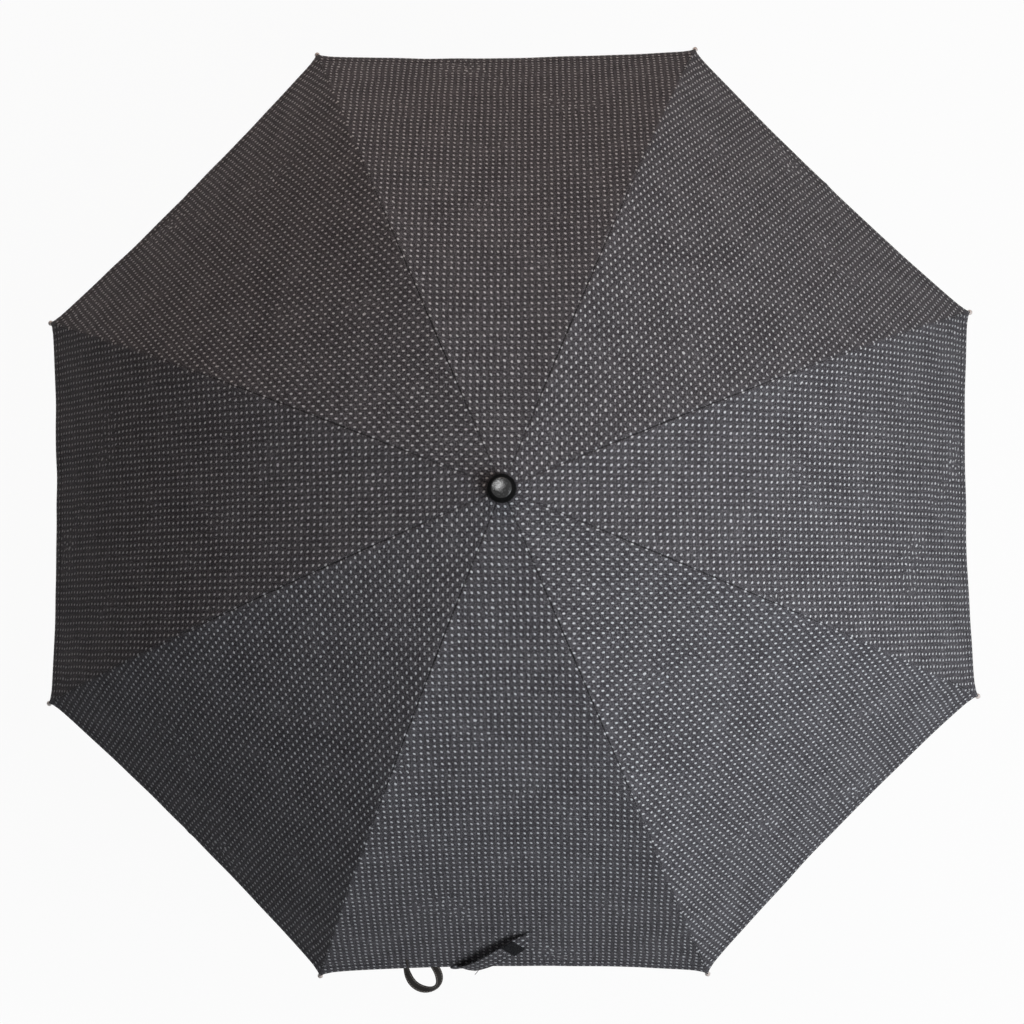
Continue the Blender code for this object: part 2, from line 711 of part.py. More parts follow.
def make_spokes(parts, bench, finishes):
    """The eight ribs with all that they carry."""
    shared = {
        "rib_inner": rib_mesh(bench),
        "rib_outer": outer_rod_mesh(bench),
        "rib_tip": tip_mesh(bench),
        "stretcher": stretcher_mesh(bench),
        "left": half_gore_mesh(1, bench),
        "right": half_gore_mesh(-1, bench),
    }
    for number in range(RIB_COUNT):
        angle = rib_angle(number)
        label = number + 1
        crown = pivot_empty(f"crown_pivot_{label}", CROWN_PIVOT, angle, parts)
        joint = pivot_empty(f"rib_joint_{label}", RIB_JOINT, angle, parts)
        lug = pivot_empty(f"lug_pivot_{label}", LUG_PIVOT, angle, parts)
        corner = pivot_empty(f"corner_pivot_{label}", TIP_POINT, angle, parts)
        add_object(f"rib_inner_{label}", shared["rib_inner"], parts, finishes["steel"], crown)
        add_object(f"rib_outer_{label}", shared["rib_outer"], parts, finishes["rod"], joint)
        add_object(f"rib_tip_{label}", shared["rib_tip"], parts, finishes["tip"], joint)
        add_object(f"stretcher_{label}", shared["stretcher"], parts, finishes["steel"], lug)
        for side in ("left", "right"):
            add_object(f"half_gore_{label}_{side}", shared[side], parts, finishes["cloth"], corner)


def make_front_trim(parts, bench, finishes):
    """The strap, patch and loop, carried by the left half of the front gore."""
    number = 5
    angle = rib_angle(number)
    corner = bpy.data.objects[f"corner_pivot_{number + 1}"]
    fold = Matrix.Rotation(angle, 3, "Z") @ TIP_POINT
    strap, patch = make_strap(bench, fold)
    loop = loop_mesh(bench, fold)
    upright = Matrix.Rotation(-angle, 4, "Z")
    pieces = (("tie_strap", strap, "cloth"), ("strap_patch", patch, "hook"), ("hem_loop", loop, "ribbon"))
    for name, mesh, finish in pieces:
        mesh.transform(upright)
        add_object(name, mesh, parts, finishes[finish], corner)


def main():
    for old in list(bpy.data.objects):
        bpy.data.objects.remove(old)
    parts = collection("rain_umbrella")
    bench = collection("cutters")
    finishes = {
        "cloth": material("charcoal_cloth", (0.075, 0.07, 0.078), 0.75),
        "steel": material("plated_steel", (0.55, 0.55, 0.56), 0.3, 1.0),
        "rod": material("black_rod", (0.03, 0.03, 0.032), 0.4),
        "tip": material("pale_tip", (0.62, 0.52, 0.47), 0.35),
        "plastic": material("black_plastic", (0.02, 0.02, 0.021), 0.45),
        "gloss": material("gloss_black", (0.008, 0.008, 0.009), 0.12),
        "grip": material("grip_black", (0.025, 0.024, 0.024), 0.5),
        "hook": material("hook_tape", (0.012, 0.012, 0.013), 0.9),
        "ribbon": material("ribbon_brown", (0.03, 0.026, 0.022), 0.55),
    }
    make_shaft(parts, bench, finishes["steel"])
    make_crown(parts, bench, finishes["plastic"])
    make_washer(parts, bench, finishes["plastic"])
    make_top_cap(parts, bench, finishes["gloss"])
    runner_pivot = pivot_empty("runner_slide", Vector((0, 0, RUNNER_PIVOT.z)), 0, parts)
    make_runner(parts, bench, finishes["plastic"], runner_pivot)
    make_catch("top_catch", top_catch_pivot(), 1, parts, bench, finishes["steel"])
    make_catch("bottom_catch", bottom_catch_pivot(), -1, parts, bench, finishes["steel"])
    make_handle(parts, bench, finishes["grip"])
    make_collar(parts, bench, finishes["steel"])
    make_spokes(parts, bench, finishes)
    make_front_trim(parts, bench, finishes)


main()
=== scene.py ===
"""The looks of an open rain umbrella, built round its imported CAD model.

Metres, +Z up along the shaft, origin on the shaft's axis at the middle of the grip.
Each rib's own frame has X outward in the rib's upright plane, and is turned to the rib's azimuth.
Ribs and gores are numbered clockwise from above. Gore n lies between rib n and rib n + 1.
"""

import math

import bmesh
import bpy
from mathutils import Matrix, Vector, noise


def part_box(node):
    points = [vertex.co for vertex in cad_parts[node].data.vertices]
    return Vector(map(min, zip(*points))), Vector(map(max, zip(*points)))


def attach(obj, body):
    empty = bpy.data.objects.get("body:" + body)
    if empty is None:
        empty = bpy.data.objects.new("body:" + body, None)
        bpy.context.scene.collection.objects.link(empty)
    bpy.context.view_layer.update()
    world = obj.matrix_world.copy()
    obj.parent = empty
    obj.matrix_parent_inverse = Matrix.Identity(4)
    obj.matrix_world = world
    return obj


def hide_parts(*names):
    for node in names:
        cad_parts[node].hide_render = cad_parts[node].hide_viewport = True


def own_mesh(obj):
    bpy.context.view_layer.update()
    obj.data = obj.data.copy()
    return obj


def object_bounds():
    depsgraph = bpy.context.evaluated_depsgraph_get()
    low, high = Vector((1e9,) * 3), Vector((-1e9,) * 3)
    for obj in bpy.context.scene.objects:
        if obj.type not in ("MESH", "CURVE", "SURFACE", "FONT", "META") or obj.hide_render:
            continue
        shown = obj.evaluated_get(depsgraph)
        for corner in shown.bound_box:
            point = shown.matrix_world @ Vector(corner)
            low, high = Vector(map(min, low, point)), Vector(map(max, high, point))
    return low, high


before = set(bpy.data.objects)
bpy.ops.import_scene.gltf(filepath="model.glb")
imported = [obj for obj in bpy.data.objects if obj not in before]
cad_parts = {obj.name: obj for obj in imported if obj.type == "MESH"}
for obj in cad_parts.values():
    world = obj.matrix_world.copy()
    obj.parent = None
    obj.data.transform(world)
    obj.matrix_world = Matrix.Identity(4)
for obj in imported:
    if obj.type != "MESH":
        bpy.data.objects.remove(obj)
CAD_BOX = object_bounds()

bl_info = {
    "name": "Dotted Rain Umbrella",
    "version": (1, 0, 0),
    "blender": (4, 5, 0),
    "location": "3D View > Sidebar > Umbrella",
    "description": "Cloth, framework and studio of an open rain umbrella",
    "category": "Add Mesh",
}

# Sizes. The solids share most of them; the hem, cap, strap, patch and loop follow the photo closer.
RUNNING_GAP = 0.0003
RIB_COUNT = 8
FIRST_RIB_DEG = 112.5
CORNER_RADIUS = 0.486
CANOPY_HOLE_RADIUS = 0.0112
CLOTH_THICKNESS = 0.0006
APEX_SLOPE_SHARE = 0.20
RIM_CURVE_SHARE = 0.37
HEM_SAG_SHARE = 0.0165
HEM_DRAWN_IN = 0.0031
CAP_HEIGHT = 0.0105
CAP_RADIUS = 0.0125
CAP_BELOW_APEX = 0.0016
CAP_DOME_SHARE = 0.66
CAP_DOME_EDGE_DEG = 16.0
CAP_SHOULDER_DEG = 51.0
CAP_FILLET_WIDTH = 0.00035
CAP_FILLET_STEPS = 4
CAP_CURVE_STEPS = 16
CAP_RIM = 0.0003
CAP_STEM_RADIUS = 0.0039
CAP_STEM_LENGTH = 0.013
PIVOT_RADIUS = 0.0108
JOINT_RADIUS = 0.245
RIB_RADIUS = 0.0015
ROD_RADIUS = 0.0012
ROD_START_SHARE = 0.55
TIP_SLEEVE_RADIUS = 0.0022
TIP_SLEEVE_LENGTH = 0.0100
TIP_BALL_RADIUS = 0.0026
TIP_BEFORE_CORNER = 0.003
TIP_BORE_DEPTH = 0.008
SHAFT_SLIDING_RADIUS = 0.0053
HANDLE_RADIUS = 0.011
HANDLE_TOP = 0.055
HANDLE_STRAIGHT_BELOW = 0.035
HOOK_RADIUS = 0.042
HOOK_END_LENGTH = 0.015
COLLAR_RADIUS = 0.0122
COLLAR_HEIGHT = 0.012
CROWN_HEIGHT = 0.0090
CROWN_NECK_RADIUS = 0.0072
CROWN_SLEEVE_RADIUS = 0.0088
CROWN_SLEEVE_LENGTH = 0.048
CROWN_SLEEVE_BEVEL = 0.0006
STRAP_WIDTH = 0.0170
STRAP_LENGTH = 0.0955
STRAP_ROOT_ACROSS = -0.048
STRAP_RISE_DEG = 45.0
STRAP_PAST_HEM = 0.004
STRAP_POINT_LENGTH = 0.017
STRAP_THICKNESS = 0.0008
PATCH_LENGTH = 0.0140
PATCH_FROM_POINT = 0.0185
LOOP_CENTRE_ACROSS = -0.0894
LOOP_HALF_WIDTH = 0.0132
LOOP_REACH = 0.0245
LOOP_SKEW = 0.0078
LOOP_FULLNESS = 0.0036
LOOP_DROP = 0.0070
LOOP_TUCK = 0.010
LOOP_RIBBON_WIDTH = 0.0075
LOOP_THICKNESS = 0.0009

# Fineness of the meshes
CLOTH_ROWS = 180
CLOTH_COLUMNS = 30
TURN_STEPS = 64
FINE_TURN_STEPS = 24
ARC_SAMPLES = 400
WELD = 0.000002
SHARP_DEG = 35.0

# Cloth relief
SEAM_STATIONS = (0.005, 0.0028, 0.0014, 0.0006, 0.0)
HEM_STATIONS = (0.0085, 0.0072, 0.0069, 0.0066, 0.0045, 0.0022, 0.0008, 0.0)
HEM_FOLD_WIDTH = 0.0069
HEM_FOLD_STEP = 0.0003
SEAM_GROOVE_DEPTH = 0.0007
SEAM_GROOVE_WIDTH = 0.0008
CORNER_PULL = 0.0048
CORNER_PULL_REACH = 0.0048
CORNER_GAP_SHARE = 0.45
PUCKER_HEIGHT = 0.00035
PUCKER_PITCH = 0.0135
PUCKER_REACH = 0.010
PUCKER_SEED = 2.3
PUCKER_WANDER = 31.0
RIPPLE_HEIGHT = 0.0009
RIPPLE_ACROSS = 26.0
RIPPLE_ALONG = 5.0
RIPPLE_NEAR_APEX = 0.3
GORE_SEED = 7.3
DIP_SKEW = 0.8
CREASE_WIDTH = 0.0022
CREASE_START_SHARE = 0.55
CREASE_HEIGHTS = {2: 0.0005, 6: 0.0006, 8: 0.0005}

# Derived from the values above
GORE_HALF_ANGLE = math.pi / RIB_COUNT
RIB_DEPTH = CLOTH_THICKNESS + RUNNING_GAP + TIP_SLEEVE_RADIUS
CAP_STEM_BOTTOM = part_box("top_cap")[0].z
APEX_Z = CAP_STEM_BOTTOM + CAP_STEM_LENGTH + CAP_BELOW_APEX
FLOOR_Z = CAD_BOX[0].z
SPOKES = range(1, RIB_COUNT + 1)
FRONT_RIB = 6
HANDS = {"left": 1, "right": -1}


# Shape of the canopy


def canopy_drop(radius):
    """Height lost from the apex to a seam at this radius."""
    share = radius / CORNER_RADIUS
    return CORNER_RADIUS * (APEX_SLOPE_SHARE * share + RIM_CURVE_SHARE * share**3)


def canopy_slope(radius):
    """Downward slope of a seam at this radius."""
    share = radius / CORNER_RADIUS
    return APEX_SLOPE_SHARE + 3 * RIM_CURVE_SHARE * share**2


def rib_point(radius, depth=RIB_DEPTH):
    """A point below the seam, square to it, in the rib's own upright plane."""
    angle = math.atan(canopy_slope(radius))
    across = radius - depth * math.sin(angle)
    return Vector((across, 0, APEX_Z - canopy_drop(radius) - depth * math.cos(angle)))


def rib_direction(radius):
    """The direction in which the rib runs outward at this radius."""
    angle = math.atan(canopy_slope(radius))
    return Vector((math.cos(angle), 0, -math.sin(angle)))


def gore_slope_angle(middle):
    """Steepness of a gore at this distance out along its middle."""
    slope = canopy_slope(middle / math.cos(GORE_HALF_ANGLE))
    return math.atan(slope / math.cos(GORE_HALF_ANGLE))


def gore_point(middle, across, lift):
    """A point over a gore: its distance out along the gore's middle, its place across, its lift."""
    angle = gore_slope_angle(middle)
    height = APEX_Z - canopy_drop(middle / math.cos(GORE_HALF_ANGLE)) + lift * math.cos(angle)
    return Vector((middle + lift * math.sin(angle), across, height))


def hem_middle(across):
    """How far out the hem lies at this place across a gore."""
    half_width = CORNER_RADIUS * math.sin(GORE_HALF_ANGLE)
    sag = HEM_SAG_SHARE * (1 - (across / half_width) ** 2)
    return CORNER_RADIUS * math.cos(GORE_HALF_ANGLE) * (1 - sag) - HEM_DRAWN_IN


def rib_turn(number):
    """The turn from a rib's own frame to its azimuth."""
    angle = math.radians(FIRST_RIB_DEG) - (number - 1) * 2 * GORE_HALF_ANGLE
    return Matrix.Rotation(angle, 4, "Z")


def on_front_gore(across, up, lift):
    """A point on the -Y gore: its place across, its distance up from the hem and its lift."""
    hem = hem_middle(across)
    point = gore_point(hem - up * math.cos(gore_slope_angle(hem)), across, lift)
    return Matrix.Rotation(-math.pi / 2, 3, "Z") @ point


CROWN_PIVOT = rib_point(PIVOT_RADIUS)
RIB_JOINT = rib_point(JOINT_RADIUS)
TIP_POINT = rib_point(CORNER_RADIUS)


# Values that a user would change


class CanopyValues(bpy.types.PropertyGroup):
    """Pattern and colours of the cloth, and how far it dips between the ribs."""

    dot_pitch: bpy.props.FloatProperty(
        name="Dot Pitch", description="Distance between the dots across a gore", default=0.0059,
        unit="LENGTH")
    dot_rows: bpy.props.FloatProperty(
        name="Dot Rows", description="Distance between the rows of dots", default=0.0062,
        unit="LENGTH")
    dot_length: bpy.props.FloatProperty(
        name="Dot Length", description="Length of one oval dot", default=0.0027, unit="LENGTH")
    dot_width: bpy.props.FloatProperty(
        name="Dot Width", description="Width of one oval dot", default=0.0018, unit="LENGTH")
    dip_share: bpy.props.FloatProperty(
        name="Gore Dip", description="Dip of a gore between its ribs, as a share of its half width",
        default=0.035, min=0, max=0.1)
    ground: bpy.props.FloatVectorProperty(
        name="Ground", description="Charcoal ground of the cloth", default=(0.172, 0.167, 0.178),
        subtype="COLOR", min=0, max=1)
    ground_dark: bpy.props.FloatVectorProperty(
        name="Dark Ground", description="Darker threads of the ground",
        default=(0.022, 0.019, 0.023), subtype="COLOR", min=0, max=1)
    dots: bpy.props.FloatVectorProperty(
        name="Dots", description="Pale threads of the dots", default=(0.66, 0.66, 0.68),
        subtype="COLOR", min=0, max=1)


class TrimValues(bpy.types.PropertyGroup):
    """The tie strap and the hem loop."""

    strap_rise: bpy.props.FloatProperty(
        name="Strap Rise", description="How far the strap's upper edge stands off the gore",
        default=0.0088, unit="LENGTH")
    ribbon: bpy.props.FloatVectorProperty(
        name="Ribbon", description="Colour of the loop's ribbon", default=(0.012, 0.010, 0.009),
        subtype="COLOR", min=0, max=1)
    ribbon_edge: bpy.props.FloatVectorProperty(
        name="Ribbon Edge", description="Colour of the ribbon's stitched edges",
        default=(0.034, 0.030, 0.027), subtype="COLOR", min=0, max=1)
    hook: bpy.props.FloatVectorProperty(
        name="Hook Tape", description="Colour of the strap's patch", default=(0.009, 0.009, 0.010),
        subtype="COLOR", min=0, max=1)


class FrameworkValues(bpy.types.PropertyGroup):
    """Colours of the hard pieces."""

    steel: bpy.props.FloatVectorProperty(
        name="Steel", description="Plated steel", default=(0.56, 0.56, 0.57), subtype="COLOR")
    steel_dull: bpy.props.FloatVectorProperty(
        name="Dull Steel", description="Plating where it is worn", default=(0.34, 0.33, 0.32),
        subtype="COLOR")
    rod: bpy.props.FloatVectorProperty(
        name="Rod", description="Outer rods", default=(0.022, 0.022, 0.024), subtype="COLOR")
    tip: bpy.props.FloatVectorProperty(
        name="Tip", description="Rib tips", default=(0.56, 0.47, 0.43), subtype="COLOR")
    plastic: bpy.props.FloatVectorProperty(
        name="Plastic", description="Crown and runner", default=(0.018, 0.018, 0.019),
        subtype="COLOR")
    gloss: bpy.props.FloatVectorProperty(
        name="Cap", description="Top cap", default=(0.003, 0.003, 0.003), subtype="COLOR")
    grip: bpy.props.FloatVectorProperty(
        name="Grip", description="Crook handle", default=(0.020, 0.019, 0.019), subtype="COLOR")


class StudioValues(bpy.types.PropertyGroup):
    """Camera and lamps."""

    camera_distance: bpy.props.FloatProperty(
        name="Camera Distance", description="Height of the camera over the ring of tips",
        default=2.042, unit="LENGTH")
    lens: bpy.props.FloatProperty(
        name="Lens", description="Focal length on a 36 mm sensor", default=73.5)
    key: bpy.props.FloatProperty(
        name="Key", description="Power of the key soft box, in watts", default=22.8)
    key_azimuth: bpy.props.FloatProperty(
        name="Key Azimuth", description="Side that the light comes from, in degrees", default=-27.0)
    sky: bpy.props.FloatProperty(
        name="Sky", description="Strength of the even light from all round", default=0.095)


# Materials


class Finish:
    """One material in the making. Its methods add nodes and return the socket that they end in."""

    def __init__(self, name, roughness, metallic=0.0, specular=0.5, sheen=0.0, coat=0.0):
        self.material = bpy.data.materials.new(name)
        self.material.use_nodes = True
        self.tree = self.material.node_tree
        self.shader = self.tree.nodes["Principled BSDF"]
        self.set("Roughness", roughness)
        self.set("Metallic", metallic)
        self.set("Specular IOR Level", specular)
        self.set("Sheen Weight", sheen)
        self.set("Coat Weight", coat)

    def set(self, name, value):
        self.put(self.shader.inputs[name], value)

    def put(self, socket, value):
        if isinstance(value, bpy.types.NodeSocket):
            self.tree.links.new(value, socket)
        elif socket.type == "RGBA":
            socket.default_value = (*value, 1.0)
        else:
            socket.default_value = value

    def node(self, kind, values=(), **settings):
        made = self.tree.nodes.new(kind)
        for name, setting in settings.items():
            setattr(made, name, setting)
        for socket, value in zip(made.inputs, values):
            if value is not None:
                self.put(socket, value)
        return made

    def math(self, operation, *values):
        return self.node("ShaderNodeMath", values, operation=operation).outputs[0]

    def vector(self, operation, *values):
        made = self.node("ShaderNodeVectorMath", values, operation=operation)
        return made.outputs["Value" if operation == "LENGTH" else "Vector"]

    def scaled(self, place, amount):
        made = self.node("ShaderNodeVectorMath", (place,), operation="SCALE")
        made.inputs["Scale"].default_value = amount
        return made.outputs["Vector"]

    def noise(self, place, scale, detail=2.0, colour=False):
        made = self.node("ShaderNodeTexNoise")
        self.put(made.inputs["Vector"], place)
        made.inputs["Scale"].default_value = scale
        made.inputs["Detail"].default_value = detail
        return made.outputs["Color" if colour else "Fac"]

    def wave(self, place, pitch, direction="X"):
        made = self.node("ShaderNodeTexWave", wave_type="BANDS", bands_direction=direction)
        self.put(made.inputs["Vector"], place)
        made.inputs["Scale"].default_value = math.pi / (10 * pitch)
        return made.outputs["Fac"]

    def step(self, value, low, high, to_low=0.0, to_high=1.0):
        made = self.node(
            "ShaderNodeMapRange", (value, low, high, to_low, to_high),
            interpolation_type="SMOOTHSTEP")
        return made.outputs["Result"]

    def mix(self, share, first, second):
        made = self.node("ShaderNodeMix", data_type="RGBA")
        colours = [socket for socket in made.inputs if socket.type == "RGBA"]
        self.put(made.inputs[0], share)
        self.put(colours[0], first)
        self.put(colours[1], second)
        return next(socket for socket in made.outputs if socket.type == "RGBA")

    def bump(self, height, distance, under=None, strength=1.0):
        made = self.node("ShaderNodeBump")
        made.inputs["Strength"].default_value = strength
        made.inputs["Distance"].default_value = distance
        self.put(made.inputs["Height"], height)
        if under is not None:
            self.put(made.inputs["Normal"], under)
        self.set("Normal", made.outputs["Normal"])
        return made.outputs["Normal"]

    def uv(self, name):
        return self.node("ShaderNodeUVMap", uv_map=name).outputs["UV"]

    def place(self):
        return self.node("ShaderNodeTexCoord").outputs["Object"]

    def split(self, vector):
        made = self.node("ShaderNodeSeparateXYZ", (vector,))
        return made.outputs[0], made.outputs[1]

    def worn_edges(self, low=0.52, high=0.62):
        """How sharply the surface stands out here, from 0 to 1."""
        made = self.node("ShaderNodeNewGeometry")
        return self.step(made.outputs["Pointiness"], low, high)


# Pattern, weave, seams and hems of the cloth
DOT_DRIFT_SCALE = 34.0
DOT_DRIFT_SHARE = 0.40
DOT_RUFFLE_SCALE = 150.0
DOT_RUFFLE_SHARE = 1.10
DOT_RUFFLED_PATCH_SCALE = 13.0
DOT_WEAR_SCALE = 300.0
DOT_LEAN_DEG = 45.0
FLECK_SCALE = 760.0
FLECK_SHARE = 1.25
SLUB_SCALE = 420.0
SLUB_SHARE = 0.40
SLUB_STRETCH = (1.0, 0.25, 1.0)
SHADE_SCALE = 26.0
SHADE_SHARE = 0.30
TWILL_SHARE = 0.35
TWILL_PITCH = 0.00095
THREAD_PITCH = 0.0005
THREAD_HEIGHT = 0.00012
FRAY_SCALE = 1600.0
DOT_HEIGHT = 0.0002
PULL_HEIGHT = 0.0004
PULL_SCALE = 120.0
PULL_STRETCH = (1.0, 0.18, 1.0)
SEAM_STITCH_PITCH = 0.0031
SEAM_WOBBLE_SCALE = 130.0
SEAM_WOBBLE = 0.0014
SEAM_WOBBLE_IN = -0.0005
SEAM_LINE_FROM = 0.0005
SEAM_LINE_TO = 0.0012
SEAM_FAINT_FROM = 0.02
SEAM_FAINT_TO = 0.13
SEAM_COLOUR = (0.005, 0.005, 0.005)
HEM_STITCH_PITCH = 0.0028
HEM_STITCH_INSIDE = 0.0006
HEM_STITCH_FROM = 0.0002
HEM_STITCH_TO = 0.0005
HEM_STITCH_COLOUR = (0.010, 0.010, 0.010)
HEM_LINE_FROM = 0.0002
HEM_LINE_TO = 0.0012
HEM_LINE_COLOUR = (0.008, 0.008, 0.008)
INSIDE_DOTS_SHARE = 0.25


def dots_mask(finish, cloth, values):
    """1 on the oval dots, which stand in a square lattice and lean along one diagonal."""
    middle = (0.5, 0.5, 0.5)
    drift = finish.noise(cloth, DOT_DRIFT_SCALE, 1.0, colour=True)
    drift = finish.vector("SUBTRACT", drift, middle)
    ruffle = finish.noise(cloth, DOT_RUFFLE_SCALE, 1.0, colour=True)
    ruffle = finish.vector("SUBTRACT", ruffle, middle)
    ruffled = finish.step(finish.noise(cloth, DOT_RUFFLED_PATCH_SCALE, 1.0), 0.52, 0.68, 0.08, 1.0)
    ruffle = finish.vector("MULTIPLY", ruffle, ruffled)
    place = finish.vector("ADD", cloth, finish.scaled(drift, values.dot_pitch * DOT_DRIFT_SHARE))
    place = finish.vector("ADD", place, finish.scaled(ruffle, values.dot_pitch * DOT_RUFFLE_SHARE))
    lattice = (1 / values.dot_pitch, 1 / values.dot_rows, 0)
    cell = finish.vector("FRACTION", finish.vector("MULTIPLY", place, lattice))
    centred = finish.vector("SUBTRACT", cell, (0.5, 0.5, 0))
    leaning = finish.node("ShaderNodeVectorRotate", (centred,), rotation_type="Z_AXIS")
    leaning.inputs["Angle"].default_value = math.radians(DOT_LEAN_DEG)
    stretch = (2 * values.dot_pitch / values.dot_length, 2 * values.dot_pitch / values.dot_width, 0)
    oval = finish.vector("LENGTH", finish.vector("MULTIPLY", leaning.outputs[0], stretch))
    worn = finish.step(finish.noise(cloth, DOT_WEAR_SCALE, 1.0), 0.30, 0.62, 0.68, 1.0)
    return finish.math("MULTIPLY", finish.step(oval, 0.70, 1.25, 1.0, 0.0), worn)


def woven_ground(finish, cloth, values, first, second):
    """The mottled ground: crossing threads, slubs and a slow drift of shade."""
    fleck = finish.noise(cloth, FLECK_SCALE, 1.0)
    slub = finish.noise(finish.vector("MULTIPLY", cloth, SLUB_STRETCH), SLUB_SCALE, 1.0)
    shade = finish.noise(cloth, SHADE_SCALE, 3.0)
    mirrored = finish.vector("MULTIPLY", cloth, (1.0, -1.0, 1.0))
    one_way = finish.wave(cloth, TWILL_PITCH, "DIAGONAL")
    other_way = finish.wave(mirrored, TWILL_PITCH, "DIAGONAL")
    twill = finish.math("MULTIPLY", one_way, other_way)
    share = finish.math("MULTIPLY", shade, SHADE_SHARE)
    share = finish.math("MULTIPLY_ADD", fleck, FLECK_SHARE, share)
    share = finish.math("MULTIPLY_ADD", slub, SLUB_SHARE, share)
    share = finish.math("MULTIPLY_ADD", twill, TWILL_SHARE, share)
    return finish.mix(finish.step(share, 0.78, 1.55), first, second)


def thread_relief(finish, cloth):
    """Height of the crossing threads."""
    across = finish.wave(cloth, THREAD_PITCH, "X")
    along = finish.wave(cloth, THREAD_PITCH, "Y")
    return finish.math("MULTIPLY", across, along)


def seam_stitches(finish, cloth, along, to_seam):
    """The dark, slightly wandering seam, fainter near the apex."""
    dash = finish.math("FRACT", finish.math("DIVIDE", along, SEAM_STITCH_PITCH))
    dash = finish.step(dash, 0.55, 0.70, 1.0, 0.80)
    wobble = finish.noise(cloth, SEAM_WOBBLE_SCALE, 2.0)
    wobble = finish.math("MULTIPLY_ADD", wobble, SEAM_WOBBLE, SEAM_WOBBLE_IN)
    wandering = finish.math("ADD", to_seam, wobble)
    line = finish.step(wandering, SEAM_LINE_FROM, SEAM_LINE_TO, 1.0, 0.0)
    faint = finish.step(along, SEAM_FAINT_FROM, SEAM_FAINT_TO, 0.45, 1.0)
    return finish.math("MULTIPLY", line, finish.math("MULTIPLY", dash, faint))


def hem_stitches(finish, across, to_hem):
    """The row of stitches that holds the hem's fold."""
    dash = finish.math("FRACT", finish.math("DIVIDE", across, HEM_STITCH_PITCH))
    dash = finish.step(dash, 0.60, 0.72, 1.0, 0.0)
    row = finish.math("SUBTRACT", to_hem, HEM_FOLD_WIDTH - HEM_STITCH_INSIDE)
    row = finish.step(finish.math("ABSOLUTE", row), HEM_STITCH_FROM, HEM_STITCH_TO, 1.0, 0.0)
    return finish.math("MULTIPLY", finish.math("MULTIPLY", row, dash), 0.7)


def cloth_finish(name, values, inside=False):
    """The dotted cloth. On its inside the dots show only faintly."""
    finish = Finish(name, roughness=0.7, specular=0.06, sheen=0.03)
    finish.shader.inputs["Sheen Roughness"].default_value = 0.5
    cloth = finish.uv("Cloth")
    to_hem, to_seam = finish.split(finish.uv("Edges"))
    across, along = finish.split(cloth)
    ground = woven_ground(finish, cloth, values, values.ground_dark, values.ground)
    mask = dots_mask(finish, cloth, values)
    threads = finish.noise(cloth, FRAY_SCALE, 1.0)
    mask = finish.math("MULTIPLY", mask, finish.step(threads, 0.2, 0.6, 0.55, 1.0))
    if inside:
        mask = finish.math("MULTIPLY", mask, INSIDE_DOTS_SHARE)
    colour = finish.mix(mask, ground, values.dots)
    colour = finish.mix(seam_stitches(finish, cloth, along, to_seam), colour, SEAM_COLOUR)
    colour = finish.mix(hem_stitches(finish, across, to_hem), colour, HEM_STITCH_COLOUR)
    hem_line = finish.step(to_hem, HEM_LINE_FROM, HEM_LINE_TO, 0.85, 0.0)
    colour = finish.mix(hem_line, colour, HEM_LINE_COLOUR)
    finish.set("Base Color", colour)
    relief = finish.bump(thread_relief(finish, cloth), THREAD_HEIGHT)
    relief = finish.bump(mask, DOT_HEIGHT, relief)
    pull = finish.noise(finish.vector("MULTIPLY", cloth, PULL_STRETCH), PULL_SCALE, 2.0)
    finish.bump(pull, PULL_HEIGHT, relief)
    return finish.material


def steel_finish(name, values):
    """Plated steel, drawn along Z, duller where it is handled."""
    finish = Finish(name, roughness=0.3, metallic=1.0)
    place = finish.place()
    drawn = finish.noise(finish.vector("MULTIPLY", place, (1.0, 1.0, 0.02)), 2500.0, 2.0)
    patches = finish.noise(place, 60.0, 4.0)
    dull = finish.step(patches, 0.45, 0.75)
    colour = finish.mix(finish.math("MULTIPLY", dull, 0.6), values.steel, values.steel_dull)
    finish.set("Base Color", finish.mix(finish.worn_edges(), colour, (0.70, 0.70, 0.70)))
    rough = finish.math("MULTIPLY_ADD", drawn, 0.18, finish.math("MULTIPLY", dull, 0.14))
    finish.set("Roughness", finish.math("ADD", rough, 0.16))
    finish.bump(drawn, 0.00003)
    return finish.material


def plastic_finish(name, colour, roughness, grain_scale, grain_height, coat=0.0, wear=0.5):
    """Moulded plastic: fine grain, faint cloudiness and paler worn edges."""
    finish = Finish(name, roughness=roughness, specular=0.5, coat=coat)
    place = finish.place()
    grain = finish.noise(place, grain_scale, 3.0)
    cloud = finish.noise(place, 45.0, 3.0)
    pale = [min(1.0, channel * 2.2 + 0.015) for channel in colour]
    base = finish.mix(finish.step(cloud, 0.35, 0.75, 0.0, 0.35), colour, pale)
    edges = finish.math("MULTIPLY", finish.worn_edges(), wear)
    finish.set("Base Color", finish.mix(edges, base, [min(1.0, c * 3 + 0.03) for c in colour]))
    finish.set("Roughness", finish.step(cloud, 0.3, 0.8, roughness * 0.8, roughness * 1.35))
    finish.bump(grain, grain_height)
    return finish.material


def rod_finish(name, colour):
    """Glass-fibre rod: long fibres under a thin gloss."""
    finish = Finish(name, roughness=0.35, coat=0.3)
    place = finish.place()
    fibre = finish.noise(finish.vector("MULTIPLY", place, (0.3, 0.3, 1.0)), 1800.0, 3.0)
    pale = [channel * 2.0 + 0.01 for channel in colour]
    finish.set("Base Color", finish.mix(finish.step(fibre, 0.4, 0.8), colour, pale))
    finish.set("Roughness", finish.step(fibre, 0.2, 0.8, 0.28, 0.46))
    finish.bump(fibre, 0.00004)
    return finish.material


CAP_DOME_SHINE = 0.42
CAP_SHOULDER_SHINE = 0.04
CAP_SHOULDER_ROUGHER = 0.25


